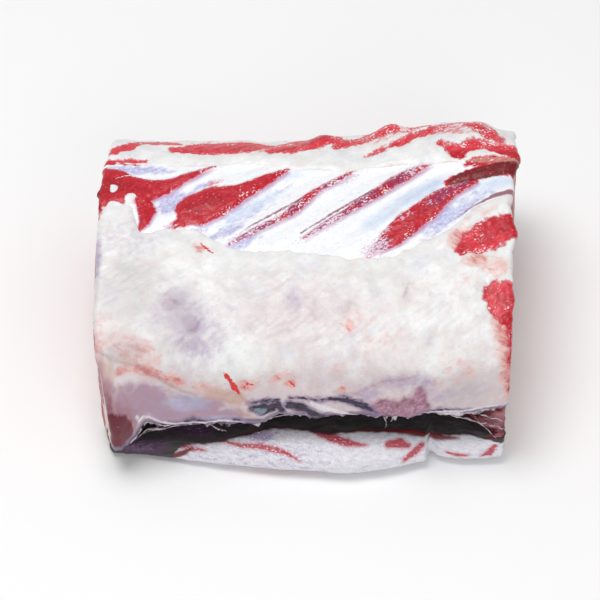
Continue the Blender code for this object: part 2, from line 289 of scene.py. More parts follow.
# Places where pale silverskin still covers a stripe, so its red turns lilac and pink.
VEILS = (
    (-42, 156, 22, 6, 34, 0.5), (-18, 172, 16, 6, 34, 0.4), (14, 197, 14, 5, 34, 0.4),
    (30, 206, 14, 4, 30, 0.6), (14, 160, 26, 5, 36, 0.6), (40, 183, 12, 5, 36, 0.4),
    (84, 213, 16, 6, 30, 0.5), (62, 203, 14, 2.5, 30, 0.4), (52, 138, 13, 9, 34, 0.75),
    (60, 154, 9, 3, 36, 0.5), (74, 166, 8, 3, 36, 0.45), (112, 190, 16, 6, 34, 0.25),
    (92, 178, 4, 7, 80, 0.4), (-104, 161, 7, 4, 20, 0.6), (-77, 219, 8, 4, 20, 0.4),
    (-96, 313, 30, 3, 8, 0.6), (-20, 302, 26, 3, -8, 0.6), (60, 313, 34, 3, 6, 0.6),
    (122, 302, 20, 3, 0, 0.6),
)
# Paler, brighter red lean at the right end; the far rim's streaks are bright as well.
BRIGHT = (
    (134, 143, 20, 14, 10, 0.9), (146, 94, 14, 16, 0, 1.0), (149, 50, 6, 40, 0, 0.35),
    (-70, 205, 10, 5, 34, 0.5),
)
# Purple-red lean that shows through thin silverskin.
PLUM = (
    (-40, 155, 24, 5, 34, 1.0), (16, 162, 26, 5, 36, 1.0), (102, 184, 18, 8, 42, 0.7),
    (54, 141, 11, 7, 36, 0.9), (72, 206, 18, 5, 34, 0.9), (46, 186, 18, 5, 36, 0.8),
    (20, 199, 16, 5, 34, 0.8), (-8, 180, 12, 5, 44, 0.8), (118, 194, 10, 4, 20, 0.8),
    (-128, 166, 6, 8, 0, 0.5),
)
# Brownish, slightly dried lean under the far rim's right end.
TAN = ((136, 220, 13, 3.2, 0, 1.0), (152, 220, 13, 3.2, 0, 1.0))
# Where white flecks lie thickest on the lean: part marbling, part painted glints of its wet film.
FLECKS_AND_GLINTS = (
    (70, 258, 34, 7, 8, 0.22), (118, 262, 30, 6, 0, 0.3), (4, 258, 20, 8, 10, 0.12),
    (128, 143, 14, 13, 0, 0.24), (138, 255, 16, 8, -30, 0.25), (144, 94, 9, 10, 0, 0.16),
    (134, 234, 24, 6, 0, 0.1),
)
# Lilac silverskin, and the bluer one towards the right end.
LILAC = (
    (-101, 186, 15, 10, 40, 1.2), (-80, 203, 14, 3, 34, 0.8), (-128, 220, 26, 5, -4, 1.0),
    (-46, 176, 28, 8, 34, 0.6), (-50, 146, 15, 6, 24, 1.0), (100, 164, 20, 5, 40, 0.9),
    (128, 186, 20, 3, 30, 0.5), (-84, 158, 10, 4, 12, 0.7), (-20, 196, 14, 4, 34, 0.4),
    (-60, 158, 18, 6, 30, 0.8), (113, 168, 34, 6, 40, 0.85), (138, 188, 14, 4, 20, 0.5),
)
BLUE = (
    (56, 168, 26, 8, 36, 0.8), (86, 190, 30, 8, 32, 1.1), (126, 183, 36, 7, 34, 0.5),
    (142, 196, 22, 6, 12, 0.8), (-5, 214, 30, 5, 20, 0.6), (-44, 178, 30, 8, 34, 0.7),
)
print("rib bed:", len(LEAN_STRIPES), "lean stripes,", len(RIB_CHANNELS), "channels")

# %% [markdown]
# The fat: a blanket from under the lip to the rib bed and a second band round the far rim and down
# the back. Its edge is torn, and lean shows in holes and streaks that the knife left.

# %% Where the fat lies
FAT_THICKNESS = 3.5                     # mm, the blanket at its full thickness
RIM_THICKNESS = 2.2                     # mm, the far rim's fat
EDGE_SWELL = 5.5                        # mm over which the fat's edge swells to full thickness
FAT_TOP = (
    (-158, 176), (-148, 186), (-140, 185), (-133, 181), (-129, 168), (-125, 156), (-118, 156),
    (-110, 160), (-87, 160), (-76, 155), (-64, 147), (-55, 141), (-49, 140), (0, 136), (44, 129),
    (63, 132), (77, 138), (90, 145), (110, 156), (128, 172), (158, 186),
)
RIM_LOW = (
    (-158, 230), (-121, 225), (-81, 223), (-43, 225), (-5, 217), (27, 215), (63, 219), (112, 219),
    (130, 216), (158, 220),
)
RIM_END = 387.0                         # girth where the far rim's fat ends, below the back
FAT_ROWS = 394.0                        # the fat's sheet ends here, on the underside
LIP_TURN = 9.0                          # how far the fat turns in under the lip
BARE_LEAN = (
    # left edge
    ((-161, 197, 3), (-160, 177, 2.5), (-161, 159, 1)),
    # right edge
    ((115, 133, 4), (124, 140, 9), (136, 146.5, 12), (150, 155, 9.5), (166, 158, 8)),
    ((138, 97, 8), (148, 92, 13), (160, 92, 13)), ((141, 90, 7), (149, 79, 7), (158, 68, 4)),
    ((151, 22, 0.5), (151, 45, 1.5), (151, 74, 3), (152, 88, 6)),
    # streaks in the far rim's fat
    ((-152, 244, 1), (-140, 251, 4.5), (-132, 257, 2)),
    ((-130, 262, 2), (-120, 262, 5), (-107, 259, 4), (-98, 256, 1.5)),
    ((-102, 246, 3), (-83, 249, 8.5), (-60, 251, 11), (-42, 253, 9), (-31, 253, 6)),
    ((-26, 244, 4), (-14, 248, 10), (-2, 254, 12), (12, 257, 11.5), (22, 254, 6)),
    ((22, 244, 1), (32, 250, 4.5), (44, 254, 5), (60, 256, 4), (82, 259, 4), (100, 264, 2)),
    ((50, 264, 3), (60, 266, 8), (74, 266, 9), (86, 266, 3)),
    ((48, 231, 0.6), (58, 236, 1.6), (70, 241, 2), (84, 247, 2.4), (98, 252, 2.8), (114, 258, 2)),
    ((118, 262, 4), (132, 258, 6), (142, 250, 6), (150, 242, 4)),
    ((104, 237, 0.5), (110, 232, 3), (117, 229, 6.5), (126, 234, 4.8), (134, 236, 4.2),
     (143, 234, 4.4), (152, 231, 5.5), (164, 228, 5)),
    ((124, 217, 0.6), (136, 220, 2.6), (150, 220, 2.6), (160, 219, 2)),
    ((110, 198, 1), (129, 205, 3.2), (144, 209, 4.2), (168, 216, 5)),
    ((-158, 231, 1.0), (-144, 231, 1.0), (-124, 230, 0.3)),
    # down the back, where the spine's small muscles came away
    ((-152, 304, 4), (-128, 309, 8), (-96, 305, 5), (-70, 311, 9), (-34, 304, 7), (-8, 309, 10),
     (24, 303, 6), (60, 309, 10), (96, 304, 6), (126, 310, 9), (154, 305, 5)),
    ((-104, 332, 1), (-84, 336, 5), (-60, 330, 1)), ((-20, 338, 1), (6, 334, 5), (30, 339, 1)),
    ((76, 334, 1), (98, 330, 4), (112, 336, 1)), ((-70, 282, 1), (-52, 286, 4), (-34, 283, 1)),
    ((40, 284, 1), (66, 287, 4), (84, 283, 1)), ((22, 358, 1), (50, 362, 4), (70, 357, 1)),
)
WHITE_BLOBS = (
    (-147, 199, 5.0, 3.6, 80, 1.0), (-134, 189, 6.0, 4.6, 70, 1.0), (-137, 213, 13, 1.0, 22, 0.7),
)
CREASE = ((-158, 52, 3), (-125, 44, 4), (-105, 32, 4), (-88, 20, 3), (-76, 16, 2))
CREASE_DEPTH = 1.8                      # mm
RIM_KNOBS = (
    (-142, 262, 12, 2.0), (136, 262, 16, 4.0), (-28, 262, 16, -1.5), (15, 258, 13, 5.5),
    (66, 262, 12, 6.5), (105, 260, 38, 5.5), (162, 262, 13, -8.0),
)
LUMP_HEIGHT, LUMP_SPAN = 1.7, 42.0
print("bare places in the fat:", len(BARE_LEAN))

# %% [markdown]
# ## Points of the skin
#
# One grid of points covers the whole roll: a column every millimetre or so along the length and a
# row every millimetre over the parts that show most. The lean skin and the fat over it are both
# laid off this grid, along its normals, so the fat is really thick where it ends. The ends' last
# columns shrink towards the middle, which rounds the cut edges, and the knife left them wavy.

# %% Grid of places
from_end = np.array([0, 0.15, 0.6, 1.4, 2.6, EDGE_RADIUS])
inner_columns = np.linspace(EDGE_RADIUS, LENGTH - EDGE_RADIUS, int(LENGTH / FINE))[1:-1]
columns = np.concatenate([from_end, inner_columns, LENGTH - from_end[::-1]]) / LENGTH
rows = np.concatenate([
    np.arange(-15, 340, FINE), np.arange(340, 396, 2 * FINE), np.arange(396, 600, 3.0),
    np.arange(600, GIRTH - 15, FINE), [GIRTH - 15]])
row_w = np.interp(rows, fine_s, fine_w)
# Tabs of fat and membrane that stand out at the ends: (girth, half width, mm).
LEFT_TABS = ((197, 4, 2.5), (52, 6, 2.0), (240, 9, -2.0), (120, 30, -1.0))
RIGHT_TABS = (
    (150, 11, 4.0), (226, 9, 3.5), (258, 7, -5.0), (176, 6, -2.5), (92, 9, 1.5), (205, 5, -1.5),
)

points = np.zeros((len(columns), len(rows), 3))
normals = np.zeros((len(columns), len(rows), 2))
fray = {}
for side, tabs, seed in (("left", LEFT_TABS, 21.0), ("right", RIGHT_TABS, 33.0)):
    ring = 1.3 * lumps(rows, rows * 0, 13, seed) + 0.7 * lumps(rows, rows * 0, 5, seed + 4)
    for tab_s, tab_half, out in tabs:
        ring = ring + out * np.exp(-(((rows - tab_s) / tab_half) ** 2))
    # The grid's first and last rows are the same line of the lip's underside.
    fray[side] = ring * smoothstep(-15, -5, rows) * (1 - smoothstep(GIRTH - 30, GIRTH - 15, rows))
for a, place in enumerate(columns):
    section, normals[a] = closed_spline(section_points(LENGTH * (place - 0.5)), row_w)
    left = along(section[:, 0], LEFT_END) - fray["left"]
    right = along(section[:, 0], RIGHT_END) + fray["right"]
    points[a, :, 0] = (1 - place) * left + place * right
    points[a, :, 1:] = section
skin_x, skin_s = points[..., 0], np.broadcast_to(rows, points.shape[:2])
print("skin grid:", points.shape[0], "columns by", points.shape[1], "rows")

# %% [markdown]
# Height of the lean under the fat, then how deep each place lies inside the fat's edge. A positive
# cover makes the fat swell quickly to its full thickness, as a cushion does at its border; outside
# the edge the fat's sheet dives under the lean, so the line where they meet is sharp.

# %% Heights
stripe = leaves(skin_x, skin_s, LEAN_STRIPES)
channel = leaves(skin_x, skin_s, RIB_CHANNELS)
under_blanket = smoothstep(-6, 6, along(skin_x, FAT_TOP) - skin_s) * smoothstep(-2, 12, skin_s)
under_rim = smoothstep(-5, 5, np.minimum(skin_s - along(skin_x, RIM_LOW), RIM_END - skin_s))
open_bed = 1 - np.maximum(under_blanket, under_rim)
bed_relief = STRIPE_HEIGHT * smoothstep(-2, 5, stripe) - CHANNEL_DEPTH * smoothstep(-4, 11, channel)
lean_height = bed_relief * open_bed
for knob_x, knob_s, radius, rise in RIM_KNOBS:
    lean_height += rise * np.exp(-((skin_x - knob_x) ** 2 + (skin_s - knob_s) ** 2) / radius**2)
lean_height -= CREASE_DEPTH * smoothstep(-4, 3, leaf(skin_x, skin_s, CREASE))
lean_height += LUMP_HEIGHT * lumps(skin_x, skin_s, LUMP_SPAN, 3.7)
lean_height += 0.35 * LUMP_HEIGHT * lumps(skin_x, skin_s, LUMP_SPAN / 3, 8.1)

# The lip's own edge is ragged too.
lip_edge = np.exp(-(((skin_s + 2) / 7) ** 2))
ragged = 1.6 * lumps(skin_x, 0 * skin_s, 9, 81.0) + 1.3 * lumps(skin_x, skin_s, 3.2, 83.0)
lean_height += lip_edge * ragged

blanket = np.minimum(along(skin_x, FAT_TOP) - skin_s, skin_s + LIP_TURN)
rim = np.minimum(skin_s - along(skin_x, RIM_LOW), RIM_END - skin_s)
torn = sum(depth * lumps(skin_x, skin_s, span, seed)
           for depth, span, seed in ((2.2, 21, 11.3), (1.5, 7, 2.9), (0.8, 2.9, 6.1)))
down_back = smoothstep(268, 290, skin_s)
bare = leaves(skin_x + 10 * down_back * lumps(skin_x, skin_s, 26, 61.0),
              skin_s + 9 * down_back * lumps(skin_x, skin_s, 19, 63.0), BARE_LEAN)
bare += 3.5 * down_back * lumps(skin_x, skin_s, 10, 65.0)
bare += 2.4 * lumps(skin_x, skin_s, 8, 4.4) + 2.0 * lumps(skin_x, skin_s, 3.4, 9.7)
cover = np.minimum(np.maximum(blanket, rim) + torn, -bare)
blob = spots(skin_x, skin_s, WHITE_BLOBS)
blob_cover = 6 * blob - 3 + 1.6 * lumps(skin_x, skin_s, 3.0, 13.7)
cover = np.where(blob > 0.02, np.maximum(cover, blob_cover), cover)
THIN_EDGE = 1.9                         # mm of fat near the blanket's borders
DIVE = -2.5                             # mm that the sheet dips under the lean outside its edge
full = np.where(rim > blanket, RIM_THICKNESS,
                THIN_EDGE + (FAT_THICKNESS - THIN_EDGE) * smoothstep(2, 30, blanket))
swell = full * (1 - np.exp(-np.maximum(cover, 0) / EDGE_SWELL))
fat_thickness = np.where(cover > 0, swell, np.maximum(0.7 * cover, DIVE))
pebbles = 0.5 * lumps(skin_x, skin_s, 15, 15.2) + 0.1 * lumps(skin_x, skin_s, 4.0, 17.8)

# Fine grain of the lean skin: wrinkled silverskin along the ribs and rough cut lean.
wrinkles = 0.22 * lumps(skin_x, skin_s, 2.6, 24.1, stretch=5)
wrinkles += 0.2 * lumps(skin_x, skin_s, 5.5, 26.3)
rough_cut = 0.3 * lumps(skin_x, skin_s, 2.7, 28.5) * smoothstep(-1, 2, np.maximum(stripe, bare))
lean_height = lean_height + wrinkles + rough_cut
print(f"fat lies over {100 * np.mean(cover > 0):.0f}% of the grid,",
      f"up to {fat_thickness.max():.1f} mm thick")


def lift(height):
    """The skin's points, raised by height along the normals, flat below, rounded at the ends."""
    raised = points.copy()
    raised[..., 1:] += normals * height[..., None]
    flat = (rows >= FLAT_FROM) & (rows <= FLAT_TO)
    raised[:, flat, 2] = 0
    raised[..., 2] = np.maximum(raised[..., 2], 0)
    distance = np.clip(LENGTH * np.minimum(columns, 1 - columns), 0, EDGE_RADIUS)
    inset = (EDGE_RADIUS - np.sqrt(EDGE_RADIUS**2 - (EDGE_RADIUS - distance) ** 2))[:, None]
    raised[..., 1] *= 1 - inset / BACK
    raised[..., 2] += inset / (CROWN / 2) * (CROWN / 2 - raised[..., 2])
    return raised


lean_points = lift(lean_height)
fat_points = lift(lean_height + fat_thickness + pebbles * smoothstep(0, 6, cover))
fat_shows = (cover > 0)[..., None] & (rows < FAT_ROWS)[None, :, None]
outer_points = np.where(fat_shows, fat_points, lean_points)

# %% [markdown]
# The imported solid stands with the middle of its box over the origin, so the skin moves by its own
# middle. The print compares the two boxes: they should agree to a few millimetres.

# %% Into the frame
node_low, node_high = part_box("ribeye_roll")
SHIFT = np.array([4.5, 4.0, 0.0])       # middle of the loft's box before the move, mm


def placed(place):
    """Metres in the frame from millimetres of the loft."""
    return (np.asarray(place, float) - SHIFT) * MM


skin_low, skin_high = placed(outer_points).min(axis=(0, 1)), placed(outer_points).max(axis=(0, 1))
print("skin against solid, low, mm:", np.round((skin_low - np.array(node_low)) * 1000, 1))
print("skin against solid, high, mm:", np.round((skin_high - np.array(node_high)) * 1000, 1))

# %% [markdown]
# ## Sheets
#
# A piece of skin is a patch of the grid. Faces that nothing can see, such as lean deep under the
# fat, are left out, and each point keeps the values that its material needs.

# %% Sheets from the grid
collection = bpy.data.collections.new("raw_beef_ribeye_roll_looks")
bpy.context.scene.collection.children.link(collection)


def dress(piece, material):
    """Finish one piece of the meat: its material, its place under the roll, and what it stands for.
    """
    piece.data.materials.append(material)
    collection.objects.link(piece)
    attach(piece, "root")
    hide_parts("ribeye_roll")
    return piece


def mesh_of(name, verts, faces, fields):
    mesh = bpy.data.meshes.new(name)
    mesh.from_pydata(placed(verts).tolist(), [], [list(map(int, face)) for face in faces])
    mesh.shade_smooth()
    for field, values in fields.items():
        kind, key = ("FLOAT_VECTOR", "vector") if np.ndim(values) == 2 else ("FLOAT", "value")
        mesh.attributes.new(field, kind, "POINT").data.foreach_set(key, np.ravel(values))
    print(name, len(mesh.vertices), "points", len(mesh.polygons), "faces")
    return bpy.data.objects.new(name, mesh)


def patch(name, grid, keep, fields):
    """A sheet of the skin: the faces whose four corners are in keep."""
    shape = grid.shape[:2]
    whole = keep[:-1, :-1] & keep[1:, :-1] & keep[1:, 1:] & keep[:-1, 1:]
    a, r = np.nonzero(whole)
    number = np.arange(shape[0] * shape[1]).reshape(shape)
    corners = [number[a, r], number[a + 1, r], number[a + 1, r + 1], number[a, r + 1]]
    faces = np.stack(corners, axis=1)
    used = np.unique(faces)
    renumber = np.zeros(shape[0] * shape[1], int)
    renumber[used] = np.arange(len(used))
    skin_places = np.stack([skin_x.ravel(), skin_s.ravel(), 0 * skin_x.ravel()], axis=1)
    flat_fields = {"place": skin_places[used]}
    for field, values in fields.items():
        flat_fields[field] = np.broadcast_to(values, shape).ravel()[used]
    return mesh_of(name, grid.reshape(-1, 3)[used], renumber[faces], flat_fields)


# %% [markdown]
# ## Wet tissue
#
# Fresh fat, silverskin and lean differ in colour far more than in build: all are water-filled
# tissue with an index of refraction near 1.38, no metal, and a wet film on top that gives small
# sharp lights. So one recipe serves them all. It starts with a mottled ground and lays further
# tissues over it, each where a value of the skin, roughened by noise, passes a threshold.

# %% The tissue recipe
WET_IOR = 1.38


def add(tree, kind, inputs=None, **settings):
    """Add a node, with its settings and its links or values."""
    node = tree.nodes.new(kind)
    for name, value in settings.items():
        setattr(node, name, value)
    for key, value in (inputs or {}).items():
        if isinstance(value, bpy.types.NodeSocket):
            tree.links.new(value, node.inputs[key])
        else:
            node.inputs[key].default_value = value
    return node


def tissue(name, layers, bumps, coat=0.35, soft=0.12):
    """A material of layered wet tissue.

    Each layer is a dictionary: tones (two hex colours), mottle (mm, stretch, contrast), rough and
    tilt. Those above the ground also have where (attribute or None), slope, start, end, torn (mm,
    stretch, amount) and most. Each bump is (mm, stretch, height in mm).
    """
    material = bpy.data.materials.new(name)
    material.use_nodes = True
    tree = material.node_tree
    shader = tree.nodes["Principled BSDF"]
    place = add(tree, "ShaderNodeAttribute", attribute_name="place").outputs["Vector"]
    color, rough = None, None
    for number, layer in enumerate(layers):
        seed = 100.0 * (number + 1)
        span, stretch, contrast = layer["mottle"]
        tilt = math.radians(layer.get("tilt", RIB_TILT))
        grain = add(tree, "ShaderNodeMapping", {
            "Vector": place, "Location": (seed, 3 * seed, 0), "Rotation": (0, 0, tilt),
            "Scale": (span * stretch, span, span)}, vector_type="TEXTURE")
        mottle = add(tree, "ShaderNodeTexNoise", {
            "Vector": grain.outputs[0], "Scale": 1.0, "Detail": 4.0, "Roughness": 0.6})
        share = add(tree, "ShaderNodeMapRange", {
            "Value": mottle.outputs[0], "From Min": 0.5 - contrast, "From Max": 0.5 + contrast})
        tone = add(tree, "ShaderNodeMix", {
            0: share.outputs[0], 6: linear(layer["tones"][0]), 7: linear(layer["tones"][1])},
            data_type="RGBA")
        if color is None:
            color, rough = tone.outputs[2], layer["rough"]
            continue
        span, stretch, amount = layer["torn"]
        grain = add(tree, "ShaderNodeMapping", {
            "Vector": place, "Location": (7 * seed, seed, 0), "Rotation": (0, 0, tilt),
            "Scale": (span * stretch, span, span)}, vector_type="TEXTURE")
        edge = add(tree, "ShaderNodeTexNoise", {
            "Vector": grain.outputs[0], "Scale": 1.0, "Detail": 3.0, "Roughness": 0.55})
        edge = add(tree, "ShaderNodeMath", {
            0: edge.outputs[0], 1: amount, 2: -0.5 * amount}, operation="MULTIPLY_ADD").outputs[0]
        if layer["where"]:
            value = add(tree, "ShaderNodeAttribute", attribute_name=layer["where"]).outputs["Fac"]
            edge = add(tree, "ShaderNodeMath", {
                0: value, 1: layer.get("slope", 1.0), 2: edge}, operation="MULTIPLY_ADD").outputs[0]
        mask = add(tree, "ShaderNodeMapRange", {
            "Value": edge, "From Min": layer["start"], "From Max": layer["end"],
            "To Max": layer.get("most", 1.0)}, interpolation_type="SMOOTHSTEP").outputs[0]
        color = add(tree, "ShaderNodeMix", {
            0: mask, 6: color, 7: tone.outputs[2]}, data_type="RGBA").outputs[2]
        rough = add(tree, "ShaderNodeMix", {
            0: mask, 2: rough, 3: layer["rough"]}, data_type="FLOAT").outputs[0]
    height = None
    for number, (span, stretch, rise) in enumerate(bumps):
        grain = add(tree, "ShaderNodeMapping", {
            "Vector": place, "Location": (31.0 * number, 5.0, 0),
            "Rotation": (0, 0, math.radians(RIB_TILT)), "Scale": (span * stretch, span, span)},
            vector_type="TEXTURE")
        swell = add(tree, "ShaderNodeTexNoise", {
            "Vector": grain.outputs[0], "Scale": 1.0, "Detail": 3.0, "Roughness": 0.6})
        height = add(tree, "ShaderNodeMath", {
            0: swell.outputs[0], 1: rise, 2: height if height else 0.0},
            operation="MULTIPLY_ADD").outputs[0]
    bump = add(tree, "ShaderNodeBump", {"Height": height, "Distance": MM, "Strength": 1.0})
    tree.links.new(color, shader.inputs["Base Color"])
    tree.links.new(rough, shader.inputs["Roughness"])
    tree.links.new(bump.outputs[0], shader.inputs["Normal"])
    tree.links.new(bump.outputs[0], shader.inputs["Coat Normal"])
    shader.inputs["IOR"].default_value = WET_IOR
    shader.inputs["Metallic"].default_value = 0.0
    shader.inputs["Coat Weight"].default_value = coat
    shader.inputs["Coat Roughness"].default_value = 0.12
    shader.inputs["Subsurface Weight"].default_value = soft
    shader.inputs["Subsurface Radius"].default_value = (1.0, 0.45, 0.35)
    shader.inputs["Subsurface Scale"].default_value = 2.0 * MM
    print(name, "nodes:", len(tree.nodes))
    return material


# %% [markdown]
# ## Rib bed
#
# Silverskin is a tight, glossy sheet of connective tissue: cream where it is thick, and blue to
# lilac where dark meat lies close below it. Lean shows in slanting stripes with a crisp upper edge
# and a lower edge that fades to lilac under the skin. Lean is myoglobin red, with flecks of white
# marbling and torn fibres, rougher than silverskin and wet.

# %% Rib bed
# Raw lean, torn and cut by knife, under silverskin stretched tight: wet, so both carry small sharp
# lights. Muscle bundles are 1 to 2 mm wide, which sets the lean's mottles at about 2.4 mm. Fibres
# and marbling flecks well under a millimetre couldn't show, so they are drawn 0.7 to 1.5 mm wide;
# some of the white flecks are painted glints of the wet film.
# The silverskin's fine white and blue-grey mottle is painted highlight and shade of its wet
# wrinkles.
SILVERSKIN = dict(tones=("#fafbfb", "#e9ecf2"), mottle=(2.2, 1.8, 0.2), rough=0.3)
RED_LEAN = ("#ae0c1e", "#ca1e33")
lean_material = tissue("raw_lean_and_silverskin", (
    SILVERSKIN,
    dict(tones=("#ebeaf2", "#f4f5f8"), mottle=(2.0, 2.0, 0.15), rough=0.36,
         where=None, start=0.02, end=0.1, torn=(6.0, 1.6, 1.0), most=0.7),
    dict(tones=("#a99ecf", "#c6cfee"), mottle=(2.2, 1.4, 0.12), rough=0.26,
         where="lilac", start=0.15, end=0.9, torn=(4.5, 1.6, 1.9), most=0.9),
    dict(tones=("#bccde6", "#dae5f3"), mottle=(5.0, 1.8, 0.2), rough=0.26,
         where="blue", start=0.1, end=1.0, torn=(9.0, 1.8, 0.9), most=0.9),
    # Painted highlights: white specks of wet light on the lilac silverskin.
    dict(tones=("#f6f8fd", "#ffffff"), mottle=(2.0, 1.4, 0.2), rough=0.2,
         where="lilac", slope=0.12, start=0.28, end=0.4, torn=(1.5, 1.3, 2.0), most=0.6),
    dict(tones=("#b58fc0", "#a875a4"), mottle=(2.0, 2.0, 0.2), rough=0.28,
         where="glow", start=-1.2, end=2.4, torn=(3.4, 3.0, 1.8), most=0.7),
    dict(tones=("#d98a9c", "#c98cab"), mottle=(2.4, 1.4, 0.2), rough=0.3,
         where="lean", start=-2.0, end=1.0, torn=(2.6, 1.8, 5.0), most=0.8),
    dict(tones=RED_LEAN, mottle=(2.4, 1.4, 0.2), rough=0.34,
         where="lean", start=-0.6, end=1.0, torn=(2.4, 1.6, 5.0)),
    dict(tones=("#d81a2c", "#e2505c"), mottle=(3.6, 1.6, 0.16), rough=0.34,
         where="bright", start=0.2, end=0.8, torn=(3.0, 1.6, 1.2), most=0.9),
    dict(tones=("#7e1c48", "#a63c66"), mottle=(2.0, 2.0, 0.2), rough=0.3,
         where="plum", start=0.2, end=0.8, torn=(2.4, 2.4, 1.4), most=0.85),
    dict(tones=("#7d0512", "#970a18"), mottle=(1.6, 1.6, 0.2), rough=0.3,
         where="lean", slope=0.12, start=0.75, end=1.5, torn=(4.5, 2.4, 3.0), most=0.4),
    # Near-black red lean, partly painted shade where the far rim's edge overhangs it.
    dict(tones=("#560206", "#84070e"), mottle=(2.4, 3.0, 0.2), rough=0.4,
         where="dark_lean_and_shade", start=-0.4, end=1.6, torn=(1.8, 2.0, 2.2), most=0.95),
    dict(tones=("#b46a5e", "#d99b8f"), mottle=(1.6, 3.0, 0.2), rough=0.36,
         where="tan", start=0.3, end=0.7, torn=(1.8, 2.0, 0.8), most=0.9),
    dict(tones=("#e9e0ea", "#c9a3c2"), mottle=(1.5, 1.6, 0.14), rough=0.28,
         where="veil", start=0.3, end=0.72, torn=(1.7, 1.7, 2.6), most=0.92),
    # Painted highlight in part: pale flecks on the lean, marbling and wet glints together.
    dict(tones=("#f0d8dd", "#fbf3f3"), mottle=(1.2, 1.2, 0.2), rough=0.3,
         where="flecks_and_glints", start=0.1, end=0.2, torn=(1.5, 1.3, 1.7), most=0.9),
    dict(tones=("#6e1738", "#94304e"), mottle=(1.5, 2.0, 0.2), rough=0.3,
         where="line", start=-0.9, end=0.6, torn=(1.6, 2.4, 3.4), most=0.85),
), bumps=((5.0, 2.4, 0.4), (1.6, 1.6, 0.3), (0.7, 1.0, 0.1)), coat=0.2, soft=0.08)

glow = leaves(skin_x - 1.6, skin_s + 2.8, LEAN_STRIPES[:6]) * open_bed - 8 * (1 - open_bed)
LEAN_MARGIN = 7.0                       # mm that the lean's sheet reaches in under the fat's edge
bed = (rows[None, :] >= -LIP_TURN - 6) & (rows[None, :] <= FAT_ROWS) & (cover < LEAN_MARGIN)
lean_depth = np.maximum(stripe, bare + 3.0)
bright_rim = smoothstep(224, 234, skin_s) * (1 - 0.4 * smoothstep(264, 290, skin_s))
bright = np.maximum(bright_rim, spots(skin_x, skin_s, BRIGHT))
dark_lean_and_shade = leaves(skin_x, skin_s, DARK_LEAN_AND_SHADE)
flecks_and_glints = 0.2 * np.minimum(lean_depth, 0) - 0.04 * np.clip(lean_depth, 0, 8)
flecks_and_glints += 0.3 * lumps(skin_x, skin_s, 9, 71.0)
flecks_and_glints += 0.1 * smoothstep(226, 236, skin_s) - 0.5 * smoothstep(-2, 2, dark_lean_and_shade)
flecks_and_glints += spots(skin_x, skin_s, FLECKS_AND_GLINTS) - 0.14 * smoothstep(-72, -100, skin_x)
rib_bed = dress(patch("rib_bed", lean_points, bed, {
    "lean": lean_depth,
    "flecks_and_glints": flecks_and_glints,
    "bright": bright,
    "plum": spots(skin_x, skin_s, PLUM) + 0.4 * np.minimum(lean_depth, 0),
    "tan": spots(skin_x, skin_s, TAN),
    "dark_lean_and_shade": dark_lean_and_shade,
    "veil": spots(skin_x, skin_s, VEILS),
    "lilac": spots(skin_x, skin_s, LILAC),
    "blue": spots(skin_x, skin_s, BLUE),
    "glow": glow,
    "line": leaves(skin_x, skin_s, THIN_LINES),
}), lean_material)

# %% [markdown]
# ## Fat blanket
#
# Chilled beef fat is firm and cream-white, slightly pebbled, with peach clouds where blood tinted
# it. Grey painted shade lies over its left and middle, and pinker painted shade low on its front.
# Near the lip a purple membrane lies over it, with its folds and the lip's edge painted as dark as
# the cleft below, as shade. Thin edges let the lean's red through.

# %% Marks on the fat
# Reddish tints: faint ones low on the left, stronger along the right edge and by the lip.
BLUSH = (
    (-130, 58, 26, 13, -20, 0.9), (-118, 43, 18, 5, -15, 1.2), (-98, 37, 14, 5, -20, 1.0),
    (-148, 74, 10, 14, 0, 0.6), (-125, 51, 3, 4, 0, 1.3), (-134, 45, 8, 3, 10, 1.2),
    (-152, 60, 6, 20, 0, 0.8), (26, 28, 4, 3, 0, 1.1), (-76, 32, 18, 5, -8, 0.7),
    (-44, 33, 9, 5, 0, 1.0), (-20, 36, 12, 5, 10, 0.7), (-12, 32, 6, 5, 0, 1.1),
    (38, 78, 22, 16, 10, 0.45), (60, 60, 30, 14, 0, 0.4), (110, 40, 24, 16, 20, 0.45),
    (32, 74, 4, 7, 0, 1.2), (116, 143, 12, 14, 0, 1.15), (126, 124, 12, 7, 0, 1.0),
    (146, 70, 12, 24, 0, 1.1), (150, 44, 9, 34, 0, 1.25), (140, 118, 12, 10, 0, 0.8),
    (112, 146, 14, 8, 30, 0.5), (-80, 140, 8, 6, -40, 0.8), (22, 44, 10, 5, 0, 0.5),
    (-154, 30, 8, 16, 0, 0.9), (84, 104, 20, 10, 0, 0.35), (-110, 96, 24, 14, 10, 0.35),
    (0, 110, 34, 14, 0, 0.3), (130, 168, 16, 8, 20, 0.5), (120, 108, 10, 6, 0, 0.5),
    (-143, 130, 10, 26, 0, 0.25), (110, 310, 50, 24, 0, 0.9), (-70, 310, 60, 24, 0, 0.9),
    (20, 320, 60, 30, 0, 0.7),
)
# Bruised and thin places, lilac to grey.
LILAC_STAINS = (
    (-99, 91, 8, 7, 10, 1.9), (-97, 92, 13, 12, 10, 1.15), (-85, 76, 11, 8, -50, 2.0),
    (-88, 78, 19, 13, -35, 1.25), (-84, 61, 20, 11, -20, 0.75), (-72, 62, 15, 13, 0, 0.45),
    (-86, 76, 34, 22, -50, 0.55), (-9, 94, 7, 11, 20, 0.6), (-106, 84, 12, 16, 0, 0.6),
    (-134, 150, 26, 20, 0, 0.33), (98, 22, 20, 8, 0, 0.5), (122, 24, 12, 8, 0, 0.4),
    (70, 34, 24, 6, 5, 0.7), (45, 24, 12, 8, 20, 0.7), (-156, 132, 4, 22, 0, 0.9),
    (88, 30, 8, 10, 0, 0.7), (-56, 88, 6, 3, -30, 0.5),
)
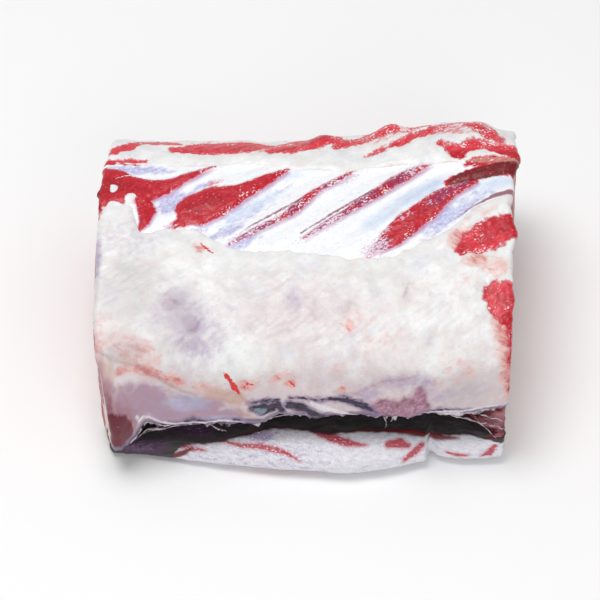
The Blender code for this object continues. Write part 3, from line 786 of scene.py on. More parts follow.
# Painted shade: the fat a little grey over its left and middle, where less light falls.
FAT_SHADE_SPOTS = ((-130, 100, 32, 36, 0, 1.15), (-134, 62, 22, 22, 0, 1.0), (-96, 84, 30, 34, 0, 1.05),
            (-36, 100, 44, 30, 0, 0.55), (50, 98, 66, 30, 0, 0.55), (118, 24, 22, 14, 0, 0.8))
# Low on the front the fat turns pinker, and is painted darker as shade; here more so than
# elsewhere, and there less.
LOW_SHADE_MORE = ((-6, 84, 52, 26, 0, 0.55),)
LOW_SHADE_LESS = ((-56, 47, 26, 13, 0, 0.7), (97, 44, 16, 12, 0, 0.5))
# The purple membrane over the lip, and the peach fat beside it.
MEMBRANE = (
    (-117, 22, 20, 12, -14, 1.2), (-92, 12, 26, 12, -4, 1.2), (-66, 8, 22, 7, 4, 1.1),
    (-78, 17, 18, 7, 4, 1.0), (-134, 28, 9, 12, -40, 0.9), (-110, 4, 18, 6, 0, 1.0),
    (-147, 33, 9, 10, 0, 0.7),
)
BLUE_MEMBRANE = ((-88, 20, 18, 6, -2, 1.0), (-70, 6, 18, 5, 6, 0.8), (-44, 2, 14, 5, 10, 0.9))
PEACH = (
    (-66, 25, 12, 7, -10, 0.9), (-55, 24, 12, 6, -10, 1.0), (-46, 12, 12, 4, -30, 0.7),
    (-146, 44, 8, 10, 0, 0.7),
)
PINK_PATCH = (
    (58, 10, 14, 9, 12, 1.7), (80, 12, 9, 12, 60, 1.8), (70, 7, 18, 6, 0, 1.7),
    (84, 22, 5, 8, 20, 1.2),
)
# Folds of the purple membrane and the lip's lower edge, painted near black as shade in the creases.
SHADED_FOLDS = (
    ((-43, 20, 0.8), (-32, 21, 1.4), (-22, 17, 2.4), (-18, 8, 3)),
    ((-40, 16, 2.6), (-32, 15, 4.6), (-24, 13, 3.8)), ((-12, 14, 4.4), (0, 11, 3.6), (10, 5, 4.2)),
    ((-12, 20, 0.6), (10, 21, 1.0), (30, 19, 2.8), (44, 12, 3.6), (52, 8, 1)),
    ((84, 3, 1.2), (100, 9, 2.0), (120, 8, 1.4)),
    ((-100, 3, 0.6), (-84, 8, 1.8), (-66, 4, 1.6), (-50, 6, 2.2)),
    ((-150, 3, 2), (-136, 1, 3), (-126, 6, 1)),
    ((-146, 2, 1), (-132, -1, 2.5), (-110, 1, 2.6), (-92, 0, 2.2), (-70, 1, 1.4)),
    ((-40, 2, 1.5), (-24, 0, 2.6), (6, 0, 3), (40, -1, 3), (60, 0, 2), (90, 1, 1.6), (120, 1, 2.4),
     (148, 3, 3)),
)
# The dark muscle that shows through at the lip's left corner, and pale edges of torn membrane.
CORNER_LEAN = ((-143, 10, 16, 19, 0, 2.0), (-147, 30, 11, 13, 0, 0.95), (-152, 44, 7, 14, 0, 0.6))
PALE_LINES = (
    ((-126, 17, 0.3), (-123, 11, 0.9), (-118, 8, 0.9), (-100, 5, 0.9), (-80, 5, 0.8), (-60, 6, 0.9),
     (-46, 4, 0.5)),
    ((4, 18, 1.2), (14, 13, 2.0), (25, 7, 1.6), (38, 3, 0.5)),
    ((-30, 3, 0.4), (-16, 2, 1.2), (-4, 3, 0.8)),
    ((88, 5, 0.4), (104, 8, 0.8), (120, 8, 0.7), (142, 8, 0.5)),
    ((90, 3, 0.5), (110, 5, 0.9), (130, 3, 0.7)), ((-134, 3, 0.6), (-120, 0, 0.9), (-104, -1, 0.6)),
)
# A grey-blue glint between the folds, thin brown lines where the fat is creased, drops of blood.
EYE = ((-34, 14, 6.0, 2.6, -8, 1.0), (-26, 10, 4.0, 1.4, -40, 0.6))
FOLD_LINE = (
    ((-154, 56, 0.3), (-140, 50, 0.6), (-124, 46, 0.7), (-107, 37, 0.9), (-92, 29, 0.8),
     (-80, 26, 0.6)),
    ((-138, 40, 0.3), (-131, 28, 1.0), (-126, 19, 0.4)),
    ((-51, 27, 0.3), (-45, 22, 0.9), (-40, 16, 0.4)), ((36, 24, 0.3), (56, 34, 0.7), (80, 38, 0.5)),
    ((76, 107, 0.2), (72, 95, 0.5)), ((20, 26, 0.3), (34, 24, 0.7), (42, 22, 0.3)),
)
BLOOD = (
    ((-61, 42, 0.3), (-58, 39, 1.9), (-55, 36, 1.2)),
    ((-57, 37, 0.6), (-53, 32, 2.6), (-50, 28, 1.2), (-48, 26, 0.3)),
    ((-47, 31, 0.2), (-43, 34, 0.9), (-37, 33, 0.2)),
    ((-13, 34, 0.2), (-10, 31, 0.9), (-8, 28, 0.2)),
    ((-80, 146, 0.3), (-76, 141, 1.3), (-70, 135, 0.6)),
)
print("marks on the fat:", len(BLUSH) + len(LILAC_STAINS) + len(MEMBRANE) + len(SHADED_FOLDS))

# %% Fat blanket
# Chilled fat trimmed by knife: matt white, softly lit from inside, with a thin wet film. Its
# lobules are about 3 mm across and lie in clouds of 13 to 22 mm. Specks below 1 mm couldn't show,
# so they are drawn 1.5 mm wide.
FAT = dict(tones=("#ebecea", "#dddbda"), mottle=(14.0, 1.0, 0.25), rough=0.42)
FAT_LAYERS = (
    FAT,
    dict(tones=("#f4f5f5", "#edeef0"), mottle=(3.0, 1.0, 0.25), rough=0.45,
         where=None, start=-0.25, end=0.4, torn=(13.0, 1.0, 1.3), most=0.75),
    dict(tones=("#e8cdc6", "#e7dad4"), mottle=(5.0, 1.1, 0.25), rough=0.4,
         where=None, start=0.0, end=0.75, torn=(17.0, 1.0, 2.2), most=0.6),
    dict(tones=("#d0d6e2", "#dbdae4"), mottle=(4.0, 1.1, 0.25), rough=0.38,
         where=None, start=0.0, end=0.75, torn=(22.0, 1.0, 2.2), most=0.75),
    # Painted shade, pink-grey, low on the front of the fat.
    dict(tones=("#d0bcbe", "#c6b0b6"), mottle=(6.0, 1.1, 0.25), rough=0.38,
         where="low", start=0.0, end=1.3, torn=(11.0, 1.0, 1.6), most=0.8),
    dict(tones=("#bfb1c8", "#9c86aa"), mottle=(4.0, 1.1, 0.22), rough=0.36,
         where="stain", start=0.0, end=1.1, torn=(5.0, 1.1, 1.3), most=0.92),
    dict(tones=("#8a5c97", "#7c4c80"), mottle=(3.0, 1.1, 0.22), rough=0.34,
         where="stain", start=0.9, end=1.7, torn=(3.0, 1.1, 1.3), most=0.85),
    dict(tones=("#dba69f", "#e6beb6"), mottle=(3.0, 1.5, 0.22), rough=0.4,
         where="blush", start=0.2, end=1.0, torn=(6.0, 1.4, 1.6), most=0.8),
    dict(tones=("#cf6a66", "#c95558"), mottle=(2.4, 1.5, 0.2), rough=0.38, tilt=-24,
         where="blush", start=0.6, end=1.5, torn=(3.6, 2.0, 2.6), most=0.8),
    # Grain in the same painted shade low on the front.
    dict(tones=("#c9b2b6", "#c3b6c6"), mottle=(2.0, 1.4, 0.2), rough=0.38, tilt=-12,
         where="low", slope=0.06, start=0.13, end=0.3, torn=(2.2, 1.5, 1.1), most=0.5),
    # Painted highlights in part: tiny white specks, some fat grains and some sparkle of the wet
    # film.
    dict(tones=("#fbfafa", "#ffffff"), mottle=(1.5, 1.2, 0.2), rough=0.22, tilt=20,
         where=None, start=0.13, end=0.24, torn=(1.5, 1.2, 1.0), most=0.6),
)
fat_material = tissue("firm_beef_fat", FAT_LAYERS + (
    dict(tones=("#ccab9f", "#bf9c92"), mottle=(3.0, 1.5, 0.2), rough=0.4, tilt=-10,
         where="peach", start=0.15, end=0.85, torn=(4.0, 1.4, 0.8), most=0.85),
    dict(tones=("#ab8fae", "#ad8b93"), mottle=(5.0, 1.8, 0.16), rough=0.3, tilt=-5,
         where="membrane", start=0.1, end=0.75, torn=(5.0, 1.8, 1.0), most=0.92),
    dict(tones=("#9b6f7c", "#ad8088"), mottle=(3.0, 1.5, 0.2), rough=0.3, tilt=80,
         where="corner", start=0.2, end=0.75, torn=(5.0, 1.5, 0.7), most=0.8),
    dict(tones=("#5c0216", "#701428"), mottle=(4.0, 1.5, 0.2), rough=0.3, tilt=80,
         where="corner", start=0.8, end=1.1, torn=(4.0, 1.5, 0.5), most=0.97),
    dict(tones=("#a6a3be", "#bdb6cc"), mottle=(3.0, 1.8, 0.22), rough=0.28, tilt=-5,
         where="blue", start=0.15, end=0.8, torn=(4.0, 1.8, 0.9), most=0.85),
    dict(tones=("#7d3d58", "#b98aa0"), mottle=(5.0, 1.3, 0.18), rough=0.32, tilt=50,
         where="pink", start=0.1, end=0.9, torn=(4.0, 1.2, 1.0), most=0.92),
    dict(tones=("#d9bccb", "#c9a2b6"), mottle=(2.0, 1.3, 0.2), rough=0.28, tilt=50,
         where="pink", slope=0.1, start=0.2, end=0.34, torn=(2.4, 1.3, 1.4), most=0.5),
    dict(tones=("#e0adb0", "#cf8a8e"), mottle=(1.6, 1.3, 0.2), rough=0.36,
         where="cover", slope=-1.0, start=-1.2, end=0.3, torn=(2.6, 1.2, 2.4), most=0.35),
    dict(tones=("#c02337", "#d9535f"), mottle=(1.5, 1.5, 0.2), rough=0.34,
         where="bare", start=-2.6, end=-0.6, torn=(1.7, 1.3, 5.0), most=0.9),
    dict(tones=("#d4434f", "#e58a90"), mottle=(1.6, 1.5, 0.2), rough=0.34,
         where="rim_pink", start=0.5, end=1.0, torn=(2.2, 2.6, 2.4), most=0.85),
    dict(tones=("#94819f", "#57465f"), mottle=(3.0, 2.6, 0.14), rough=0.28, tilt=4,
         where="lip_shade", start=0.35, end=0.9, torn=(4.0, 3.4, 1.3), most=0.9),
    # Painted shade in the membrane's folds and along the lip's edge, darkest in the next layer.
    dict(tones=("#9784a6", "#664f74"), mottle=(2.4, 2.6, 0.14), rough=0.28, tilt=-14,
         where="folds", start=-2.4, end=0.6, torn=(3.0, 2.2, 6.0), most=0.85),
    dict(tones=("#3d2c4a", "#120d15"), mottle=(2.6, 2.4, 0.12), rough=0.3, tilt=-14,
         where="folds", start=0.0, end=1.4, torn=(2.6, 2.2, 7.0), most=0.97),
    dict(tones=("#d9d6e6", "#a7a3bf"), mottle=(1.6, 1.6, 0.2), rough=0.2, tilt=-14,
         where="folds", slope=0.1, start=0.4, end=0.62, torn=(3.4, 2.2, 2.0), most=0.4),
    dict(tones=("#f4f0f4", "#d3c6d2"), mottle=(2.0, 2.0, 0.2), rough=0.24, tilt=-6,
         where="pale", start=-0.8, end=0.5, torn=(2.2, 2.6, 2.6), most=0.9),
    dict(tones=("#8ea6b4", "#536074"), mottle=(1.8, 2.0, 0.2), rough=0.2,
         where="eye", start=0.35, end=0.75, torn=(1.2, 1.5, 0.6), most=0.95),
    dict(tones=("#a97c7c", "#b3908c"), mottle=(1.5, 2.0, 0.2), rough=0.36, tilt=-20,
         where="fold_line", start=-1.6, end=1.2, torn=(3.0, 2.2, 3.6), most=0.55),
    dict(tones=("#e00008", "#c80f18"), mottle=(1.5, 1.5, 0.2), rough=0.16,
         where="blood", start=-0.35, end=0.5, torn=(1.6, 1.2, 3.2), most=0.95),
    # Painted shade: a neutral grey over the fat's left and middle.
    dict(tones=("#c0bab7", "#b4aeb2"), mottle=(7.0, 1.1, 0.25), rough=0.4,
         where="shade", start=0.0, end=1.4, torn=(9.0, 1.1, 0.7), most=0.7),
), bumps=((14.0, 1.0, 0.4), (3.0, 1.2, 0.1), (1.1, 1.0, 0.06)), coat=0.2, soft=0.2)

# %% The blanket's piece
# Pink, finely streaked fat along the far rim.
RIM_PINK = (
    (120, 257, 22, 8, 4, 1.0), (112, 248, 22, 5, 0, 0.9), (84, 258, 20, 5, 10, 0.9),
    (66, 250, 26, 6, 12, 0.7), (4, 262, 26, 8, 0, 0.7), (-62, 262, 40, 5, 0, 0.6),
    (148, 236, 12, 6, 0, 0.8), (-112, 262, 20, 6, 0, 0.6), (30, 246, 20, 4, 10, 0.5),
    (-34, 243, 6, 6, 0, 0.8),
)
# How dark the painted shade on the lip's purple border is, along the roll.
LIP_DARK = ((-150, 0.3), (-120, 0.75), (-60, 1.0), (45, 1.15), (60, 0.6), (95, 0.8), (150, 1.1))
lip_shade = smoothstep(14, 2, skin_s) + 0.25 * lumps(skin_x, skin_s, 14, 73.0)
lip_shade = lip_shade * along(skin_x, LIP_DARK)
HIDDEN_BORDER = 4.0                     # mm of the sheet kept outside its edge, under the lean
fat_place = (rows[None, :] < FAT_ROWS) & (cover > -HIDDEN_BORDER)
fat_blanket = dress(patch("fat_blanket", fat_points, fat_place, {
    "cover": cover,
    "bare": bare,
    "corner": spots(skin_x, skin_s, CORNER_LEAN),
    "pale": leaves(skin_x, skin_s, PALE_LINES),
    "blush": spots(skin_x, skin_s, BLUSH),
    # Painted shade on the front, strongest near the lip.
    "low": (0.3 * smoothstep(130, 80, skin_s) + 0.9 * smoothstep(64, 20, skin_s)
            + spots(skin_x, skin_s, LOW_SHADE_MORE) - spots(skin_x, skin_s, LOW_SHADE_LESS)),
    "shade": spots(skin_x, skin_s, FAT_SHADE_SPOTS),
    "stain": spots(skin_x, skin_s, LILAC_STAINS),
    "membrane": spots(skin_x, skin_s, MEMBRANE),
    "blue": spots(skin_x, skin_s, BLUE_MEMBRANE),
    "peach": spots(skin_x, skin_s, PEACH),
    "pink": spots(skin_x, skin_s, PINK_PATCH),
    "folds": leaves(skin_x, skin_s, SHADED_FOLDS),
    "lip_shade": lip_shade,
    "eye": spots(skin_x, skin_s, EYE),
    "fold_line": leaves(skin_x, skin_s, FOLD_LINE),
    "blood": leaves(skin_x, skin_s, BLOOD),
    "rim_pink": spots(skin_x, skin_s, RIM_PINK),
}), fat_material)

# %% [markdown]
# ## Flap, cleft and underside
#
# Below the lip a flap of rib meat lies on the table, under lilac membrane with a few lean streaks.
# Between the two the meat folds back into a cleft, wet and torn dark red where the light still
# reaches; deeper in, it is painted nearly black, as shade. The underside was cut from the carcass's
# outside and is covered in fat and thin membrane; nobody sees it until the roll is turned.

# %% Marks on the flap
FLAP_STREAKS = (
    ((-70, 650, 0.5), (-49, 645, 2.2), (-33, 644, 2.6), (-16, 639, 2.0), (-4, 633, 0.6)),
    ((7, 659, 4), (18, 654, 4), (29, 650, 3.4), (46, 646, 0.8)),
    ((62, 645, 3.2), (70, 645, 4), (77, 642, 2)), ((74, 631, 2), (81, 636, 3), (87, 642, 2)),
    ((-100, 643, 1.5), (-88, 640, 2.4), (-76, 639, 1)),
    ((132, 628, 1.0), (138, 631, 3), (142, 640, 2)),
    ((106, 632, 1), (114, 630, 2), (122, 630, 0.5)),
    ((-60, 622, 0.4), (-30, 619, 1.4), (10, 616, 0.4)),
)
DARK_RED = (
    ((-48, 657, 2.5), (-30, 664, 4), (-12, 665, 2)),
    ((34, 664, 3), (50, 663, 4.5), (62, 660, 4), (80, 655, 4), (88, 652, 3.6)),
    ((95, 642, 3.0), (102, 645, 3), (115, 648, 1)),
    ((-104, 626, 3), (-94, 634, 3), (-86, 640, 1)),
)
# Torn red meat that closes the cleft's right end, and the strand along its border.
WEB = (
    ((116, 682, 2), (128, 688, 7), (140, 693, 14), (150, 700, 22)),
    ((137, 655, 3), (147, 665, 8), (151, 680, 12)),
)
# Purple meat at the cleft's left end, painted dark as shade, with light specks of painted sheen.
PURPLE_SHADE_AND_SHEEN = ((-128, 640, 24, 14, 0, 1.0), (-112, 618, 22, 10, 0, 0.9), (-84, 660, 20, 9, 0, 0.8),
               (-50, 668, 18, 6, 0, 0.6))
PURPLE = ((-33, 652, 11, 5, 0, 1.0), (-64, 652, 10, 5, 0, 0.6), (4, 662, 12, 5, 0, 0.6),
          (-10, 640, 20, 5, 0, 0.4))
print("streaks on the flap:", len(FLAP_STREAKS))

# %% Flap, cleft and underside
# Membrane stretched over the flap, and the wet inside of the cleft: tight and glossy, and painted
# nearly black as shade where no light comes in. Its wrinkles of under 1 mm are drawn 1.5 mm wide,
# as painted highlight and shade.
flap_material = tissue("membrane_flap_and_cleft", FAT_LAYERS[:4] + (
    dict(tones=("#d2ced8", "#ebebf0"), mottle=(3.0, 1.6, 0.2), rough=0.26, tilt=-12,
         where="flap", start=0.1, end=0.6, torn=(6.0, 1.5, 0.3)),
    dict(tones=("#a89ac2", "#bdb4d4"), mottle=(2.0, 1.6, 0.2), rough=0.26, tilt=-12,
         where="flap", start=0.98, end=1.3, torn=(4.0, 2.0, 1.5), most=0.75),
    dict(tones=("#9a80b4", "#b9a6cc"), mottle=(2.0, 1.6, 0.14), rough=0.24, tilt=-12,
         where="purple", start=0.2, end=0.9, torn=(2.6, 1.5, 1.8), most=0.85),
    dict(tones=("#c8878f", "#b8626c"), mottle=(2.0, 2.0, 0.2), rough=0.34,
         where="thin", start=0.62, end=1.1, torn=(13.0, 2.4, 2.0), most=0.7),
    dict(tones=("#d9a2ae", "#c58795"), mottle=(2.0, 1.6, 0.14), rough=0.3, tilt=-8,
         where="streaks", start=-2.4, end=0.6, torn=(3.4, 1.8, 5.0), most=0.7),
    dict(tones=("#ad2c3e", "#c25462"), mottle=(2.0, 1.6, 0.14), rough=0.3, tilt=-8,
         where="streaks", start=-0.4, end=1.2, torn=(2.6, 1.6, 5.0), most=0.92),
    # Painted highlight and shade of the membrane's fine wrinkles: white specks, then blue-grey
    # ones.
    dict(tones=("#eceaf0", "#ffffff"), mottle=(1.5, 1.6, 0.2), rough=0.2, tilt=-12,
         where="flap", slope=0.3, start=0.4, end=0.52, torn=(1.6, 1.4, 1.6), most=0.8),
    dict(tones=("#b9bfd0", "#c9c2d2"), mottle=(1.5, 1.6, 0.2), rough=0.24, tilt=-12,
         where="flap", slope=0.3, start=0.46, end=0.6, torn=(1.9, 1.5, 1.6), most=0.6),
    # Painted shade: dark red-brown where the cleft begins.
    dict(tones=("#3f2a30", "#5c343c"), mottle=(3.0, 2.0, 0.2), rough=0.3, tilt=0,
         where="deep", start=0.2, end=0.9, torn=(4.0, 2.4, 1.4)),
    dict(tones=("#8a1a22", "#5b1519"), mottle=(2.6, 2.0, 0.16), rough=0.28, tilt=0,
         where="dark_red", start=-1.4, end=1.6, torn=(3.4, 2.6, 3.6), most=0.95),
    # Painted shade: grey-black deeper in the cleft.
    dict(tones=("#353133", "#524d4f"), mottle=(5.0, 2.4, 0.2), rough=0.4, tilt=0,
         where="deep", start=0.75, end=1.25, torn=(5.0, 2.4, 0.9)),
    # Painted shade over purple meat at the cleft's left end.
    dict(tones=("#6a4668", "#402c44"), mottle=(3.0, 3.0, 0.16), rough=0.24, tilt=14,
         where="purple_shade_and_sheen", start=0.15, end=0.8, torn=(4.5, 3.0, 1.7), most=0.9),
    # Painted sheen: light specks on the dark purple.
    dict(tones=("#b0a6b6", "#6f6478"), mottle=(1.6, 1.6, 0.2), rough=0.2, tilt=10,
         where="purple_shade_and_sheen", slope=0.5, start=0.5, end=0.8, torn=(2.4, 1.5, 1.9), most=0.7),
    dict(tones=("#8e2f3a", "#4e1a20"), mottle=(3.0, 1.6, 0.14), rough=0.26, tilt=-30,
         where="web", start=-2.0, end=2.0, torn=(4.0, 1.8, 6.0), most=0.92),
    # Painted highlight: a pink-lilac sheen in the middle of the torn web.
    dict(tones=("#d39aa3", "#b46672"), mottle=(3.0, 1.6, 0.16), rough=0.24, tilt=-30,
         where="web", start=2.6, end=6.5, torn=(5.0, 2.0, 12.0), most=0.8),
), bumps=((5.0, 1.6, 0.5), (1.6, 1.6, 0.3), (0.8, 1.0, 0.12)), coat=0.2, soft=0.1)

on_flap = smoothstep(592, 612, skin_s)
on_flap += 0.3 * smoothstep(612, 640, skin_s) * lumps(skin_x, skin_s, 30, 41.0)
on_flap -= 0.3 * smoothstep(612, 630, skin_s) * smoothstep(0, 50, skin_x)
# Girth where the flap's membrane ends and the cleft's painted shade begins, along the roll.
LINE_OF_DARK = (
    (-150, 598), (-104, 604), (-99, 635), (-90, 643), (-71, 646), (-55, 651), (-38, 656),
    (-19, 659), (17, 656), (38, 659), (60, 657), (84, 654), (89, 652), (92, 646), (94.5, 643),
    (98, 645), (104, 648), (130, 655), (141, 648), (150, 640),
)
line_of_dark = along(skin_x, LINE_OF_DARK)
into_dark = skin_s - line_of_dark
# deep: how far into the cleft's painted shade.
deep = 0.9 * smoothstep(-4, 2, into_dark) + 0.6 * smoothstep(0, 6, into_dark)
back_end = (rows[None, :] >= RIM_END - 6) & np.ones_like(skin_x, bool)
under_skin = dress(patch("flap_and_underside", lean_points, back_end, {
    "flap": on_flap,
    "purple": spots(skin_x, skin_s, PURPLE),
    "thin": 1 - smoothstep(560, 600, skin_s),
    "streaks": leaves(skin_x, skin_s, FLAP_STREAKS),
    "deep": deep,
    "dark_red": leaves(skin_x, skin_s, DARK_RED),
    "web": leaves(skin_x, skin_s, WEB),
    "purple_shade_and_sheen": spots(skin_x, skin_s, PURPLE_SHADE_AND_SHEEN),
}), flap_material)

# %% [markdown]
# ## Cut faces
#
# A knife across the roll shows its build: the oval eye muscle, the cap, the tail in the lip and the
# thin flap, parted by seams of fat, with marbling as fine white threads in the lean. The face is a
# flat mesh of triangles over the outline of the end, because only such a mesh follows the cleft
# exactly. Each point asks which muscle it lies in, and how far from a seam.

# %% Muscles of the cut faces
# (y, z, half width, half height, tilt in degrees, tone)
MUSCLES = (
    (40, 63, 76, 41, 4, 0.35), (54, 12, 74, 15, 3, 0.8), (118, 60, 14, 44, -6, 0.7),
    (22, 112, 86, 10, 2, 0.9), (-66, 84, 30, 17, 28, 0.6), (-84, 62, 17, 14, 0, 0.8),
    (-46, 54, 20, 17, -30, 0.7), (-84, 12, 44, 8, 2, 0.85), (-28, 20, 32, 14, -8, 0.5),
)
# Fat under the skin, as thickness by girth.
RIND = (
    (-15, 5), (40, 8), (120, 8), (165, 4), (195, 1.4), (222, 2.5), (262, 6), (310, 7), (346, 5),
    (398, 3.5), (500, 3), (590, 3), (625, 2.2), (690, 1.6), (720, 2.5), (784, 5),
)
FACE_GRID = 1.7  # mm between the face's inner points
print("muscles on a cut face:", len(MUSCLES))


def cut_face(name, column, end, outward, fray_of_side, seed):
    """Close one end: a triangle mesh over the outline, with the muscles' relief and values."""
    ring = outer_points[column, :-1]
    keep = np.concatenate([[True], np.linalg.norm(np.diff(ring[:, 1:], axis=0), axis=1) > 0.05])
    ring, ring_s, ring_fray = ring[keep], rows[:-1][keep], fray_of_side[:-1][keep]
    outline = ring[:, 1:]
    sides = np.roll(outline, -1, axis=0) - outline
    lengths = (sides * sides).sum(axis=1)

    def to_outline(y, z):
        point = np.array([y, z])
        t = np.clip(((point - outline) * sides).sum(axis=1) / lengths, 0, 1)
        gaps = np.linalg.norm(outline + t[:, None] * sides - point, axis=1)
        nearest = int(gaps.argmin())
        return gaps[nearest], nearest

    inside = []
    for row, z in enumerate(np.arange(outline[:, 1].min(), outline[:, 1].max(), FACE_GRID * 0.87)):
        for y in np.arange(outline[:, 0].min(), outline[:, 0].max(), FACE_GRID):
            y_here = y + (row % 2) * FACE_GRID / 2
            if to_outline(y_here, z)[0] > 0.6 * FACE_GRID:
                inside.append((y_here, z))
    corners = [Vector(p) for p in outline.tolist() + inside]
    edges = [(k, (k + 1) % len(outline)) for k in range(len(outline))]
    border = [list(range(len(outline)))]
    places, _, faces, origins, _, _ = delaunay_2d_cdt(corners, edges, border, 1, 1e-5)
    verts, skin_depth, girth, order = [], [], [], []
    for place, origin in zip(places, origins):
        on_ring = [k for k in origin if k < len(ring)]
        depth, nearest = to_outline(place.x, place.y)
        if on_ring:
            verts.append(ring[on_ring[0]])
            depth = 0.0
        else:
            x = float(along(place.x, end)) + outward * ring_fray[nearest] * math.exp(-depth / 5)
            verts.append(np.array([x, place.x, place.y]))
        skin_depth.append(depth)
        girth.append(ring_s[nearest])
    verts, skin_depth, girth = np.array(verts), np.array(skin_depth), np.array(girth)
    y, z = verts[:, 1], verts[:, 2]
    bent_y = y + 9 * lumps(y, z, 34, seed) + 2.5 * lumps(y, z, 11, seed + 3)
    bent_z = z + 9 * lumps(y, z, 30, seed + 5) + 2.5 * lumps(y, z, 11, seed + 7)
    insides = []
    for muscle_y, muscle_z, half_y, half_z, tilt, _ in MUSCLES:
        c, d = math.cos(math.radians(tilt)), math.sin(math.radians(tilt))
        u = ((bent_y - muscle_y) * c + (bent_z - muscle_z) * d) / half_y
        v = ((bent_z - muscle_z) * c - (bent_y - muscle_y) * d) / half_z
        insides.append((1 - np.hypot(u, v)) * min(half_y, half_z))
    ranked = np.sort(insides, axis=0)
    best, second = ranked[-1], ranked[-2]
    lean = np.minimum(best + 3.2, 0.5 * (best - second) - 0.7)
    lean = np.minimum(lean, skin_depth - along(girth, RIND) - lumps(y, z, 9, seed + 9))
    tone = np.array([muscle[5] for muscle in MUSCLES])[np.argmax(insides, axis=0)]
    relief = 1.1 * smoothstep(0, 9, lean) - 0.5 * smoothstep(2, -1, lean)
    relief += 0.25 * lumps(y, z, 4, seed + 2)
    eye = np.clip(1 - ((y - 25) / 72) ** 2 - ((z - 62) / 42) ** 2, 0, 1)
    verts[:, 0] += outward * (relief + 2.2 * np.sqrt(eye)) * smoothstep(0, 8, skin_depth)
    faces = [face if outward > 0 else face[::-1] for face in faces]
    return mesh_of(name, verts, faces, {
        "place": np.stack([y, z, 0 * y + 50 * seed], axis=1),
        "lean": lean, "tone": tone, "rind": skin_depth})


# %% Cut faces
# Lean and fat cut across the fibres by a sharp knife: even and moist, duller than torn lean.
# Marbling threads are 0.3 to 3 mm wide; the finest are drawn 2 mm wide so that they show.
cut_material = tissue("fresh_cut_ribeye", (
    dict(tones=("#ebe0db", "#dfcac3"), mottle=(5.0, 1.3, 0.2), rough=0.42),
    dict(tones=("#9c1220", "#b32634"), mottle=(3.0, 2.6, 0.22), rough=0.36,
         where="lean", start=-0.5, end=0.6, torn=(2.6, 1.4, 2.6)),
    dict(tones=("#7c0a17", "#93141f"), mottle=(2.0, 3.0, 0.2), rough=0.34,
         where="tone", start=0.5, end=1.1, torn=(6.0, 2.0, 0.9), most=0.6),
    dict(tones=("#ebdcd7", "#dfc4bd"), mottle=(2.0, 1.3, 0.2), rough=0.42,
         where="lean", slope=-1.0, start=-0.5, end=0.6, torn=(2.6, 1.4, 2.6)),
    dict(tones=("#c98a88", "#bd6f70"), mottle=(2.0, 1.3, 0.2), rough=0.4,
         where=None, start=0.06, end=0.3, torn=(4.0, 3.2, 1.5), most=0.45),
    dict(tones=("#e6cdc8", "#d9b0ac"), mottle=(2.0, 1.3, 0.2), rough=0.4,
         where="lean", slope=-0.008, start=0.15, end=0.24, torn=(2.4, 3.4, 1.9), most=0.8),
    dict(tones=("#d0938f", "#c27272"), mottle=(2.0, 1.3, 0.2), rough=0.38,
         where="rind", slope=-1.0, start=-1.4, end=-0.2, torn=(2.0, 1.4, 1.6), most=0.5),
), bumps=((3.0, 2.4, 0.4), (1.1, 1.6, 0.28)), coat=0.2, soft=0.12)
cut_left = dress(cut_face("cut_face_left", 0, LEFT_END, -1, fray["left"], 5.3), cut_material)
cut_right = dress(cut_face("cut_face_right", -1, RIGHT_END, 1, fray["right"], 7.9), cut_material)

# %% [markdown]
# ## Torn edge of the lip
#
# Along the lip the knife left a fringe of white connective tissue, a millimetre or two thick at the
# root and ragged below. It is a narrow strip of grid that hangs from the fat's lower edge, with its
# length from noise, given thickness by a Solidify modifier.

# %% Strands across the cleft
# Strands of membrane across the cleft: places as (x, share of the way from lip to flap, mm behind
# that line), then the strand's radius.
STRANDS = (
    (((-141, 0.85, 3), (-128, 0.62, 3), (-104, 0.4, 4), (-84, 0.1, 2)), 1.0),
    (((-136, 0.95, 5), (-122, 0.8, 6), (-104, 0.6, 7), (-92, 0.55, 9)), 0.8),
    (((-132, 0.3, 2), (-112, 0.22, 4), (-92, 0.3, 5), (-66, 0.1, 3)), 0.7),
    (((-118, 0.1, 2), (-100, 0.16, 4), (-76, 0.12, 3)), 0.6),
    (((-78, 0.0, 1), (-66, 0.5, 4), (-60, 0.6, 4)), 0.7), (((-62, 0.0, 1), (-58, 0.35, 3)), 0.7),
    (((-36, 0.0, 2), (-22, 0.3, 6), (2, 0.1, 4)), 0.6),
    (((57, 0.0, 0), (60, 0.3, 1), (59, 0.5, 2)), 0.7), (((66, 0.0, 0), (63, 0.28, 1)), 0.7),
    (((99, 0.0, 1), (116, 0.2, 2), (130, 0.5, 3), (143, 0.95, 3)), 0.8),
    (((120, 0.0, 1), (134, 0.3, 3), (149, 0.5, 3)), 0.7),
    (((128, 0.45, 3), (140, 0.6, 3), (149, 0.72, 3)), 0.6),
)
print("strands to lay:", len(STRANDS))

# %% Lip fringe
FRINGE_STEP = 0.9                       # mm along the lip
# Longer tatters: (x, half width, mm).
TATTERS = ((-112, 3, 2), (-74, 2.2, 4), (-63, 1.8, 6), (-58, 1.4, 4), (-36, 2, 3), (2, 1.6, 3),
           (59, 1.3, 6), (66, 1.6, 5), (98, 2.4, 2), (128, 2, 3))
FRINGE_ROOT = -3.0                      # girth on the lip's underside where fringe and strands hang
FLAP_MIDDLE = 645.0                     # girth on the flap towards which the strands reach
LIP_ROW = 20                            # a row of the grid that runs along the lip
root_row, flap_row = (int(np.abs(rows - place).argmin()) for place in (FRINGE_ROOT, FLAP_MIDDLE))


def column_at(x):
    """Number of the skin's column nearest to x."""
    return int(np.abs(skin_x[:, LIP_ROW] - x).argmin())


